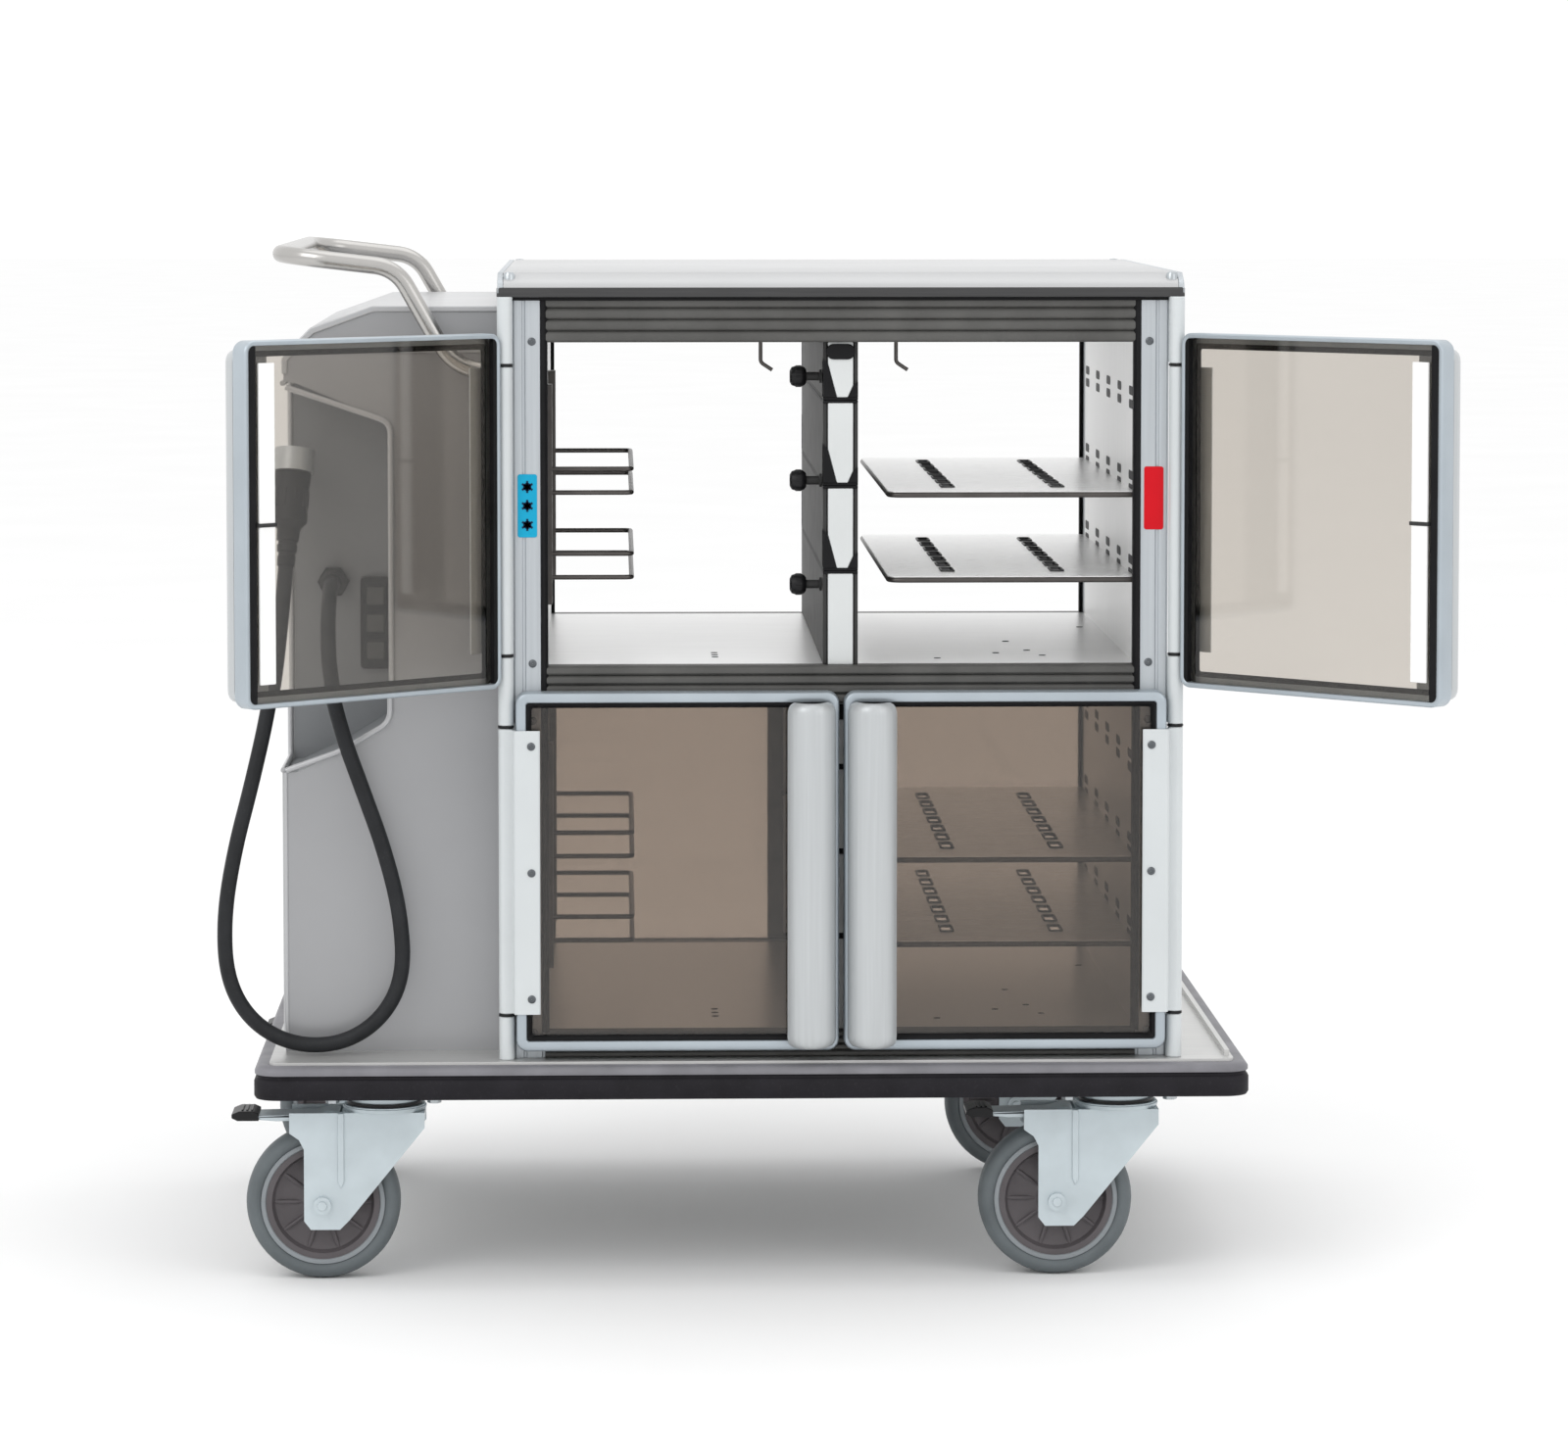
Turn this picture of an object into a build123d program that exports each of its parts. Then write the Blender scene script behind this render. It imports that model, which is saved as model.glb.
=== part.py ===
from build123d import *
import os
from math import pi, radians, tan

# ---------------------------------------------------------------------------
# Mobile tray cart with a cold and a hot zone, machine casing and mains lead.
# Units are millimetres. The model is laid out about the platform's centre on
# the floor: X to the right, Y away from the front, Z up. place() moves it so
# that the origin is the centre of the resting box's bottom face.
# ---------------------------------------------------------------------------

# where the part's origin lies, measured from the platform's centre
ORIGIN_X = 79.0
ORIGIN_Y = 48.0

# platform
PLATFORM_X = 1026.0
PLATFORM_Y = 770.0
CASTER_HEIGHT = 198.0
BUMPER_HEIGHT = 33.0
BUMPER_DEPTH = 16.0
BUMPER_CORNER = 26.0
DECK_TOP = 235.0
DECK_SHEET = 10.0
FRAME_BEAM = 45.0

# cabinet
CAB_X = 91.5
CAB_HALF_X = 337.0
CAB_HALF_Y = 344.0
POST_X = 32.0
POST_Y = 40.0
CAB_TOP = 1021.0
ROOF_HALF_X = 352.0
ROOF_HALF_Y = 352.0
ROOF_EDGE = 12.0
ROOF_CROWN = 11.0
UPPER_FLOOR = 641.0
UPPER_CEILING = 974.0
LOWER_FLOOR = 262.0
LOWER_CEILING = 602.0
RAIL_Y = 26.0
INNER_HALF_X = CAB_HALF_X - POST_X

# tray levels above each compartment's floor
TRAY_LEVELS = (90.0, 178.0)
SHELF_GAP = 32.0
SHELF_CORNER = 12.0
SHELF_LIP = 6.0
SHELF_SHEET = 2.0
SHELF_SLOTS = 7
SLOT_ROWS = (0.34, 0.74)
SLOT_STEP = 76.0

# tray slots through the divider
SLOT_HEIGHT = 6.0
SLOT_RISE = 7.0
TOP_SLOT_RISE = 88.0

# wire loops at the cold end of the trays
WIRE_R = 2.5
LOOP_FRONT = -285.0
LOOP_REAR = 75.0
HOOK_Y = -300.0

# drain holes in the floors, measured from the cabinet's centre
DRAIN_R = 3.5
DRAIN_DEPTH = 6.0
DRAIN_HOLES = ((-128, -240), (-128, -215), (-128, -190), (169, -200), (189, -60),
               (204, -170), (216, -230), (104, -260), (284, 120))

# air slots in the hot side wall, level with each tray
AIR_SLOT_R = 4.5
AIR_SLOT_REACH = 16.0
AIR_SLOT_DEPTH = 8.0
AIR_SLOT_Y = (-270, -135, 0, 135, 270)
AIR_SLOT_RISES = (0, 14)

# divider between the zones
DIVIDER_HALF = 18.0
DIVIDER_SKIN = 4.0
DIVIDER_END_Y = 332.0
KNOB_RISES = (80, 188, 296)
KNOB_INSET = 45.0
KNOB_R = 11.0
KNOB_STEM = 18.0

# doors and their hinges
HINGE_FROM_CENTRE = 344.5
HINGE_Y = 352.0
COLUMN_R = 8.0
PIN_R = 4.0
RUN_FIT = 0.05
DOOR_EDGE = 10.0
DOOR_REACH = 342.0
DOOR_OUTER = -16.0
DOOR_INNER = 6.0
DOOR_RIM = 14.0
DOOR_CORNER = 12.0
GLASS_SHEET = 6.0
GLASS_GRIP = 5.0
LEAF_LENGTH = 295.0
WASHER = 3.0
WASHER_GAP = 0.2
UPPER_DOOR_Z = (620.0, 984.0)
LOWER_DOOR_Z = (245.0, 616.0)
REST_ANGLES = {
    "front_upper_left": 138.0,
    "front_upper_right": 135.0,
    "rear_upper_left": 92.0,
    "rear_upper_right": 92.0,
    "front_lower_left": 0.0,
    "front_lower_right": 0.0,
    "rear_lower_left": 0.0,
    "rear_lower_right": 0.0,
}

# machine casing at the left end
CASING_LEFT = -484.0
CASING_HALF_Y = 290.0
CASING_TOP = 1008.0
CASING_SHEET = 3.0
NICHE_RIGHT = -374.0
NICHE_BACK_Y = -150.0
NICHE_SHEET = 2.5

# push handle
HANDLE_R = 9.0
HANDLE_Y = 318.0

# mains lead
CORD_D = 16.0
PLUG_RELIEF = 38.0
PLUG_BODY = 58.0
PLUG_R = 19.0
PIN_SPACING = 19.0
CORD_ROUTE = (
    (-440, -190, 715),
    (-440, -236, 715),
    (-440, -290, 684),
    (-437, -322, 630),
    (-423, -323, 571),
    (-401, -323, 510),
    (-379, -322, 448),
    (-363, -321, 382),
    (-360, -320, 316),
    (-384, -320, 271),
    (-426, -320, 246),
    (-476, -320, 246),
    (-518, -320, 270),
    (-543, -319, 314),
    (-546, -317, 378),
    (-535, -311, 447),
    (-516, -301, 520),
    (-499, -286, 597),
    (-490, -266, 671),
    (-485, -247, 742),
)

# casters
WHEEL_R = 80.0
WHEEL_WIDTH = 40.0
HUB_WIDTH = 50.0
CASTER_X = 381.0
CASTER_Y = 300.0
TRAIL = 64.0
AXLE_R = 5.0
FORK_GAP = 52.0
FORK_SHEET = 4.0
CROWN_BOTTOM = 168.0
CROWN_TOP = 176.0
HEAD_TOP = 194.0
PEDAL_PIVOT = 52.0
PEDAL_PIN_R = 2.5
PEDAL_Z = 171.0
PEDAL_REACH = 106.0

SIDES = {"left": -1, "right": 1}
FACES = {"front": -1, "rear": 1}
TIERS = {"upper": UPPER_DOOR_Z, "lower": LOWER_DOOR_Z}


def block(x0, x1, y0, y1, z0, z1):
    """A box given by its limits."""
    size = (abs(x1 - x0), abs(y1 - y0), abs(z1 - z0))
    return Pos((x0 + x1) / 2, (y0 + y1) / 2, (z0 + z1) / 2) * Box(*size)


def upright(x, y, z0, z1, radius):
    """A vertical cylinder."""
    return Pos(x, y, (z0 + z1) / 2) * Cylinder(radius, z1 - z0)


def across(x, y, z, radius, length):
    """A cylinder along Y, centred on the point."""
    return Pos(x, y, z) * Rot(90, 0, 0) * Cylinder(radius, length)


def sideways(x, y, z, radius, length):
    """A cylinder along X, centred on the point."""
    return Pos(x, y, z) * Rot(0, 90, 0) * Cylinder(radius, length)


def slab(width, depth, corner, z0, z1):
    """A plate with rounded corners, centred on the platform."""
    return extrude(Pos(0, 0, z0) * RectangleRounded(width, depth, corner), amount=z1 - z0)


def along_y(points, y0, y1):
    """A prism with an outline in X and Z, from y0 to y1."""
    face = make_face(Polyline(*[(x, y0, z) for x, z in points], close=True))
    return extrude(face, amount=y1 - y0, dir=(0, 1, 0))


def bent_wire(points, corner, radius):
    """A round wire through the points with rounded corners."""
    path = FilletPolyline(*points, radius=corner)
    return sweep(Plane(path @ 0, z_dir=path % 0) * Circle(radius), path=path)


def place(shape):
    """From the platform's centre to the part's origin."""
    return Pos(-ORIGIN_X, -ORIGIN_Y, 0) * shape


# --- platform ---------------------------------------------------------------

def chassis_frame():
    """A welded frame of box beams that carries the casters and the deck."""
    outer_x = PLATFORM_X / 2 - BUMPER_DEPTH
    outer_y = PLATFORM_Y / 2 - BUMPER_DEPTH
    top = DECK_TOP - DECK_SHEET
    solid = slab(2 * outer_x, 2 * outer_y, BUMPER_CORNER - BUMPER_DEPTH, CASTER_HEIGHT, top)
    bay_x = (2 * outer_x - 4 * FRAME_BEAM) / 3
    bay_y = 2 * (outer_y - FRAME_BEAM * 2.6)
    for bay in (-1, 0, 1):
        middle = bay * (bay_x + FRAME_BEAM)
        solid -= Pos(middle, 0, CASTER_HEIGHT) * Box(bay_x, bay_y, 80)
    return [solid]


def deck_plate():
    """A stainless sheet with a low lip along its right edge."""
    x = PLATFORM_X - 2 * BUMPER_DEPTH
    y = PLATFORM_Y - 2 * BUMPER_DEPTH
    sheet = slab(x, y, BUMPER_CORNER - BUMPER_DEPTH, DECK_TOP - DECK_SHEET, DECK_TOP)
    lip = block(x / 2 - 8, x / 2 - 3, -y / 2 + 20, y / 2 - 20, DECK_TOP, DECK_TOP + 6)
    return [sheet + lip]


def bumper():
    """A rubber profile round the platform, with a groove and a ledge."""
    top = CASTER_HEIGHT + BUMPER_HEIGHT
    ring = slab(PLATFORM_X, PLATFORM_Y, BUMPER_CORNER, CASTER_HEIGHT, top)
    ring = chamfer(ring.edges().group_by(Axis.Z)[-1], 3)
    inner_x = PLATFORM_X - 2 * BUMPER_DEPTH
    inner_y = PLATFORM_Y - 2 * BUMPER_DEPTH
    ring -= slab(inner_x, inner_y, BUMPER_CORNER - BUMPER_DEPTH, 0, top + 5)
    groove = slab(PLATFORM_X + 20, PLATFORM_Y + 20, BUMPER_CORNER, top - 11, top - 8)
    groove -= slab(PLATFORM_X - 5, PLATFORM_Y - 5, BUMPER_CORNER - 2, 0, top + 5)
    return [ring - groove]


# --- cabinet ----------------------------------------------------------------

def corner_posts():
    """Four extruded corner posts with a shallow gasket groove."""
    posts = []
    for side in SIDES.values():
        for face in FACES.values():
            outer = CAB_X + side * CAB_HALF_X
            inner = outer - side * POST_X
            front = face * CAB_HALF_Y
            back = front - face * POST_Y
            post = block(outer, inner, front, back, DECK_TOP, CAB_TOP)
            groove_x = inner + side * 2.5
            post -= block(inner - side, groove_x, front + face, front - face * 3, 0, 2000)
            posts.append(post)
    return posts


def side_walls():
    """Insulated side walls; the hot side has rows of air slots."""
    reach = CAB_HALF_Y - POST_Y
    walls = []
    for side in SIDES.values():
        outer = CAB_X + side * CAB_HALF_X
        inner = outer - side * POST_X
        walls.append(block(outer, inner, -reach, reach, DECK_TOP, CAB_TOP))
    middle = CAB_X + INNER_HALF_X + AIR_SLOT_DEPTH / 2
    for floor in (UPPER_FLOOR, LOWER_FLOOR):
        for level in (TRAY_LEVELS[0], TRAY_LEVELS[1], TRAY_LEVELS[1] + TOP_SLOT_RISE):
            for y in AIR_SLOT_Y:
                for rise in AIR_SLOT_RISES:
                    z = floor + level + rise
                    slot = Pos(middle, y, z) * Box(AIR_SLOT_DEPTH, 2 * AIR_SLOT_REACH,
                                                   2 * AIR_SLOT_R)
                    for end in (y - AIR_SLOT_REACH, y + AIR_SLOT_REACH):
                        slot += sideways(middle, end, z, AIR_SLOT_R, AIR_SLOT_DEPTH)
                    walls[1] -= slot
    return walls


def cross_rails():
    """Dark ribbed fascias, middle rails and bottom rails, front and rear."""
    spans = ((UPPER_CEILING, CAB_TOP), (LOWER_CEILING, UPPER_FLOOR), (DECK_TOP, LOWER_FLOOR))
    left = CAB_X - INNER_HALF_X
    right = CAB_X + INNER_HALF_X
    rails = []
    for face in FACES.values():
        front = face * CAB_HALF_Y
        back = front - face * RAIL_Y
        for low, high in spans:
            rail = block(left, right, front, back, low, high)
            for height in (0.25, 0.5, 0.75):
                z = low + (high - low) * height
                rail -= block(left, right, front + face, front - face * 2, z - 1.5, z + 1.5)
            rails.append(rail)
    return rails


def liner_panels():
    """Floors and ceiling of the compartments, with drain holes in the floors."""
    left = CAB_X - INNER_HALF_X
    right = CAB_X + INNER_HALF_X
    reach = CAB_HALF_Y - RAIL_Y
    panels = []
    for low, high in ((UPPER_CEILING, CAB_TOP), (LOWER_CEILING, UPPER_FLOOR),
                      (DECK_TOP, LOWER_FLOOR)):
        panels.append(block(left, right, -reach, reach, low, high))
    for index, floor in ((1, UPPER_FLOOR), (2, LOWER_FLOOR)):
        for x, y in DRAIN_HOLES:
            panels[index] -= upright(CAB_X + x, y, floor - DRAIN_DEPTH, floor, DRAIN_R)
    return panels


def roof_panel():
    """The roof sheet with its chamfered edges, and four corner studs."""
    edge = Pos(CAB_X, 0, 0) * slab(2 * ROOF_HALF_X, 2 * ROOF_HALF_Y, 9, CAB_TOP,
                                   CAB_TOP + ROOF_EDGE + ROOF_CROWN)
    edge = chamfer(edge.edges().group_by(Axis.Z)[-1], ROOF_CROWN - 4)
    for side in SIDES.values():
        for face in FACES.values():
            x = CAB_X + side * (ROOF_HALF_X - 9)
            y = face * (ROOF_HALF_Y - 9)
            top = CAB_TOP + ROOF_EDGE + ROOF_CROWN
            edge += upright(x, y, CAB_TOP, top + 2, 6)
    return [edge]


def slot_heights(floor):
    """Heights of the tray slots of one compartment."""
    levels = list(TRAY_LEVELS) + [TRAY_LEVELS[-1] + TOP_SLOT_RISE]
    return [floor + level + SLOT_RISE for level in levels]


def divider_bands(floor, ceiling):
    """The stretches of divider between the tray slots."""
    bands = []
    low = floor
    for slot in slot_heights(floor):
        bands.append((low, slot - SLOT_HEIGHT / 2))
        low = slot + SLOT_HEIGHT / 2
    bands.append((low, ceiling))
    return bands


def divider():
    """Insulating blocks, their skins and the lips that close the slots."""
    core = DIVIDER_HALF - DIVIDER_SKIN
    end = DIVIDER_END_Y
    blocks = []
    skins = []
    seals = []
    for floor, ceiling in ((UPPER_FLOOR, UPPER_CEILING), (LOWER_FLOOR, LOWER_CEILING)):
        for low, high in divider_bands(floor, ceiling):
            middle = block(CAB_X - core, CAB_X + core, -end, end, low, high)
            blocks.append(chamfer(middle.edges().filter_by(Axis.Z), 3))
            for side in SIDES.values():
                inner = CAB_X + side * core
                outer = CAB_X + side * DIVIDER_HALF
                skins.append(block(inner, outer, -end + 3, end - 3, low, high))
        for slot in slot_heights(floor):
            seals.append(block(CAB_X - core, CAB_X + core, -end + 4, end - 4,
                               slot - SLOT_HEIGHT / 2, slot + SLOT_HEIGHT / 2))
    return blocks, skins, seals


def thumb_screws():
    """Knobs that clamp the divider from the cold side, near its front end."""
    knobs = []
    face_x = CAB_X - DIVIDER_HALF
    y = -DIVIDER_END_Y + KNOB_INSET
    for floor in (UPPER_FLOOR, LOWER_FLOOR):
        for rise in KNOB_RISES:
            knob = sideways(face_x - KNOB_STEM / 2, y, floor + rise, 5, KNOB_STEM)
            knob += sideways(face_x - KNOB_STEM - 7, y, floor + rise, KNOB_R, 16)
            knobs.append(knob)
    return knobs


def shelf_outline(z, inset, depth):
    """A plate in a shelf's outline, less an inset, from z - depth up to z."""
    left = CAB_X + DIVIDER_HALF + SHELF_GAP
    right = CAB_X + INNER_HALF_X + SHELF_CORNER
    reach = DIVIDER_END_Y - 12
    sketch = RectangleRounded(right - left - 2 * inset, 2 * (reach - inset), SHELF_CORNER - inset)
    return Pos((left + right) / 2, 0, z - depth) * extrude(sketch, amount=depth)


def shelves():
    """Two punched shelves in each hot compartment, lipped and held at the right wall."""
    right = CAB_X + INNER_HALF_X
    sheets = []
    for floor in (UPPER_FLOOR, LOWER_FLOOR):
        for level in TRAY_LEVELS:
            z = floor + level
            sheet = shelf_outline(z, 0, SHELF_LIP) - shelf_outline(z, SHELF_SHEET, SHELF_LIP)
            sheet += shelf_outline(z, 0, SHELF_SHEET)
            sheet -= block(right, right + 50, -CAB_HALF_Y, CAB_HALF_Y, z - 20, z + 1)
            for row in SLOT_ROWS:
                x = CAB_X + DIVIDER_HALF + row * (INNER_HALF_X - DIVIDER_HALF)
                for step in range(SHELF_SLOTS):
                    y = (step - (SHELF_SLOTS - 1) / 2) * SLOT_STEP
                    sheet -= block(x - 6, x + 6, y - 22, y + 22, z - 5, z + 5)
            sheets.append(sheet)
    return sheets


def wire_brackets():
    """Wall rails with wire loops that hold the trays' cold ends, and ceiling hooks."""
    wall = CAB_X - INNER_HALF_X
    start = wall + 8
    reach = wall + 90
    pieces = []
    for floor, ceiling in ((UPPER_FLOOR, UPPER_CEILING), (LOWER_FLOOR, LOWER_CEILING)):
        for y in (LOOP_FRONT, LOOP_REAR):
            rail = block(wall, start, y - 12, y + 12, floor + 60, ceiling - 45)
            for step in range(8):
                z = floor + 75 + step * 28
                rail -= block(start - 3, start + 1, y - 4, y + 4, z - 7, z + 7)
            pieces.append(rail)
        for level in TRAY_LEVELS:
            for z in (floor + level - WIRE_R, floor + level + 22):
                loop = ((start, LOOP_FRONT, z), (reach, LOOP_FRONT, z),
                        (reach, LOOP_REAR, z), (start, LOOP_REAR, z))
                pieces.append(bent_wire(loop, 8, WIRE_R))
    for x in (10, 150):
        hook = ((x, HOOK_Y, UPPER_CEILING), (x, HOOK_Y, UPPER_CEILING - 22),
                (x + 12, HOOK_Y, UPPER_CEILING - 30))
        pieces.append(bent_wire(hook, 6, 2))
    return pieces


def leaf_span(low, high):
    """Lower and upper end of a door's hinge leaf."""
    middle = (low + high) / 2
    return middle - LEAF_LENGTH / 2, middle + LEAF_LENGTH / 2


def hinge_columns():
    """Four vertical hinge columns: fixed segments, washers and the pin between them."""
    lower_leaf = leaf_span(*LOWER_DOOR_Z)
    upper_leaf = leaf_span(*UPPER_DOOR_Z)
    segments = ((DECK_TOP, lower_leaf[0] - WASHER), (lower_leaf[1] + WASHER, upper_leaf[0] - WASHER),
                (upper_leaf[1] + WASHER, CAB_TOP))
    washers = [z for leaf in (lower_leaf, upper_leaf)
               for z in (leaf[0] - WASHER, leaf[1] + WASHER_GAP)]
    columns = []
    for side in SIDES.values():
        for face in FACES.values():
            x = CAB_X + side * HINGE_FROM_CENTRE
            y = face * HINGE_Y
            post_side = CAB_X + side * CAB_HALF_X
            column = upright(x, y, DECK_TOP, CAB_TOP, PIN_R)
            for low, high in segments:
                column += upright(x, y, low, high, COLUMN_R)
                column += block(x, post_side, y, y - face * 14, low, high)
            for low in washers:
                column += upright(x, y, low, low + WASHER - WASHER_GAP, COLUMN_R - 1)
            columns.append(column)
    return columns


def zone_labels():
    """Coloured zone labels on the front and rear posts, cold left and hot right."""
    labels = []
    for side, low, high in ((-1, 774, 839), (1, 781, 846)):
        for face in FACES.values():
            x = CAB_X + side * (CAB_HALF_X - POST_X / 2 + 1)
            y = face * CAB_HALF_Y
            labels.append(block(x - 10, x + 10, y, y + face * 1, low, high))
    return labels


def post_screws():
    """Domed screw heads on the corner posts."""
    heads = []
    for side in SIDES.values():
        for face in FACES.values():
            x = CAB_X + side * (CAB_HALF_X - 20)
            for z in (975, 644):
                heads.append(across(x, face * (CAB_HALF_Y + 0.75), z, 4, 1.5))
    return heads


# --- doors ------------------------------------------------------------------

def door_shapes(low, high):
    """One closed door in its own frame: hinge axis at the origin, outside at -Y."""
    height = high - low
    width = DOOR_REACH - DOOR_EDGE
    centre = (DOOR_EDGE + DOOR_REACH) / 2
    thick = DOOR_INNER - DOOR_OUTER
    mid_z = (low + high) / 2

    def plate(inset, corner, y0, y1):
        sketch = RectangleRounded(width - 2 * inset, height - 2 * inset, corner)
        solid = extrude(sketch, amount=y1 - y0)
        return Pos(centre, y1, mid_z) * Rot(90, 0, 0) * solid

    glass_y0 = DOOR_OUTER + (thick - GLASS_SHEET) / 2
    glass_y1 = glass_y0 + GLASS_SHEET
    frame = plate(0, DOOR_CORNER, DOOR_OUTER, DOOR_INNER)
    frame -= plate(DOOR_RIM, DOOR_CORNER - 4, DOOR_OUTER - 1, DOOR_INNER + 1)
    glass = plate(DOOR_RIM - GLASS_GRIP, DOOR_CORNER - 2, glass_y0, glass_y1)
    frame -= glass

    leaf_low, leaf_high = leaf_span(low, high)
    leaf = upright(0, 0, leaf_low, leaf_high, COLUMN_R)
    leaf += block(0, DOOR_EDGE, -COLUMN_R, -COLUMN_R + 3, leaf_low, leaf_high)
    leaf += block(DOOR_EDGE - 2, DOOR_EDGE, DOOR_OUTER - 3, -COLUMN_R, leaf_low, leaf_high)
    leaf += block(DOOR_EDGE - 2, 35, DOOR_OUTER - 3, DOOR_OUTER, leaf_low, leaf_high)
    leaf -= upright(0, 0, leaf_low - 1, leaf_high + 1, PIN_R + RUN_FIT)
    for z in (leaf_low + 17, leaf_high - 17):
        leaf += across(26, DOOR_OUTER - 3.75, z, 4, 1.5)

    handle_x = 312.5
    handle_y = DOOR_OUTER - 4
    grip = upright(handle_x, handle_y, low + 5, high - 10, 26)
    grip -= upright(handle_x, handle_y, low, high, 22)
    grip -= block(handle_x - 40, handle_x + 40, DOOR_OUTER, 40, low, high)
    grip -= block(handle_x - 40, handle_x - 4, DOOR_OUTER - 12, 40, low, high)

    strip_low = low + 28
    strip = block(308, 320, DOOR_INNER, DOOR_INNER + 3, strip_low, high - 24)
    strip += block(320, DOOR_REACH - DOOR_RIM + 2, DOOR_INNER, DOOR_INNER + 1.5,
                   strip_low, high - 24)
    return [frame, leaf, grip, strip], [glass]


def hung(shapes, side, face, angle):
    """Hang a door at its hinge and open it by the angle."""
    x = CAB_X + side * HINGE_FROM_CENTRE
    y = face * HINGE_Y
    placed = []
    for shape in shapes:
        if side > 0:
            shape = mirror(shape, about=Plane.YZ)
        if face > 0:
            shape = mirror(shape, about=Plane.XZ)
        placed.append(Pos(x, y, 0) * Rot(0, 0, -angle * side * face) * shape)
    return placed


# --- machine end --------------------------------------------------------------

CASING_OUTLINE = (
    (CAB_X - CAB_HALF_X, DECK_TOP),
    (CASING_LEFT, DECK_TOP),
    (CASING_LEFT, 955),
    (CASING_LEFT + 30, 985),
    (CASING_LEFT + 92, CASING_TOP),
    (CAB_X - CAB_HALF_X, CASING_TOP),
)
NICHE_OUTLINE = (
    (CASING_LEFT - 20, 935),
    (CASING_LEFT + 14, 930),
    (NICHE_RIGHT, 890),
    (NICHE_RIGHT, 579),
    (NICHE_RIGHT - 50, 549),
    (CASING_LEFT + 14, 527),
    (CASING_LEFT - 20, 524),
)
CASING_CAVITY = (
    (CAB_X - CAB_HALF_X + 5, DECK_TOP - 5),
    (CASING_LEFT + CASING_SHEET, DECK_TOP - 5),
    (CASING_LEFT + CASING_SHEET, 954),
    (CASING_LEFT + 32, 982),
    (CASING_LEFT + 93, CASING_TOP - CASING_SHEET),
    (CAB_X - CAB_HALF_X + 5, CASING_TOP - CASING_SHEET),
)


def machine_casing():
    """A folded sheet casing with sloped shoulders, open towards the cabinet wall."""
    shell = along_y(CASING_OUTLINE, -CASING_HALF_Y, CASING_HALF_Y)
    reach = CASING_HALF_Y - CASING_SHEET
    cavity = along_y(CASING_CAVITY, -reach, reach)
    shell -= cavity
    niche = block(CASING_LEFT - 5, NICHE_RIGHT, -CASING_HALF_Y - 5, NICHE_BACK_Y, 0, 2000)
    niche &= along_y(NICHE_OUTLINE, -CASING_HALF_Y - 20, NICHE_BACK_Y)
    shell -= niche
    for step in range(9):
        z = 330 + step * 16
        shell -= block(-420, -310, CASING_HALF_Y - 8, CASING_HALF_Y + 5, z, z + 6)
    return [shell]


def cable_niche():
    """The folded liner of the niche, inside the casing's front and left sheets."""
    left = CASING_LEFT + CASING_SHEET
    front = -CASING_HALF_Y + CASING_SHEET
    outer = along_y(((left, 936), (CASING_LEFT + 14, 933), (NICHE_RIGHT + 3, 892),
                     (NICHE_RIGHT + 3, 577), (NICHE_RIGHT - 49, 546),
                     (CASING_LEFT + 14, 524), (left, 522)), front, NICHE_BACK_Y + NICHE_SHEET)
    hollow = along_y(NICHE_OUTLINE, front - 5, NICHE_BACK_Y)
    return [outer - hollow]


def inlet_plate():
    """Switch and socket plate on the niche's back wall."""
    y = NICHE_BACK_Y
    plate = block(-412, -380, y - 6, y, 622, 720)
    plate = fillet(plate.edges().filter_by(Axis.Y), 5)
    for z in (700, 671, 642):
        plate += block(-406, -386, y - 10, y - 6, z - 10, z + 10)
    return [plate]


def cable_gland():
    """A gland on the niche's back wall with a tapered strain relief."""
    x, _, z = CORD_ROUTE[0]
    nut = Pos(x, NICHE_BACK_Y - 6, z) * Rot(90, 0, 0) * extrude(RegularPolygon(17, 6), 6, both=True)
    taper = Pos(x, NICHE_BACK_Y - 26, z) * Rot(90, 0, 0) * Cone(13, CORD_D / 2 + 1.5, 28)
    return [nut + taper]


def route_frame():
    """Start and direction of the plug at the cord's far end."""
    end = Vector(*CORD_ROUTE[-1])
    heading = (end - Vector(*CORD_ROUTE[-2])).normalized()
    return Plane(end, z_dir=heading)


def cord_radii(points):
    """Arc radii as large as the two runs at each corner allow."""
    places = [Vector(*point) for point in points]
    radii = []
    for before, here, after in zip(places, places[1:], places[2:]):
        turn = (here - before).get_angle(after - here)
        shorter = min((here - before).length, (after - here).length)
        radii.append(0.45 * shorter / tan(radians(turn) / 2))
    return radii


def power_cable():
    """The mains lead, hanging in one loop from the gland to the plug."""
    radii = cord_radii(CORD_ROUTE)
    path = FilletPolyline(*CORD_ROUTE, radius=radii)
    print("cord radii", [round(radius) for radius in radii])
    tube = sweep(Plane(path @ 0, z_dir=path % 0) * Circle(CORD_D / 2), path=path)
    section = pi * (CORD_D / 2) ** 2
    print("cord length", round(path.length, 1), "volume ratio",
          round(tube.volume / (section * path.length), 4))
    return [tube]


def plug():
    """Moulded plug: tapered relief, body, face disc and two pins."""
    body = Pos(0, 0, PLUG_RELIEF / 2) * Cone(CORD_D / 2 + 1, 12, PLUG_RELIEF)
    body += Pos(0, 0, PLUG_RELIEF + PLUG_BODY / 2) * Cylinder(PLUG_R, PLUG_BODY)
    top = PLUG_RELIEF + PLUG_BODY
    for x in (-PIN_SPACING / 2, PIN_SPACING / 2):
        body += Pos(x, 0, top + 9) * Cylinder(2.4, 18)
    return [route_frame() * body]


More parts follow.
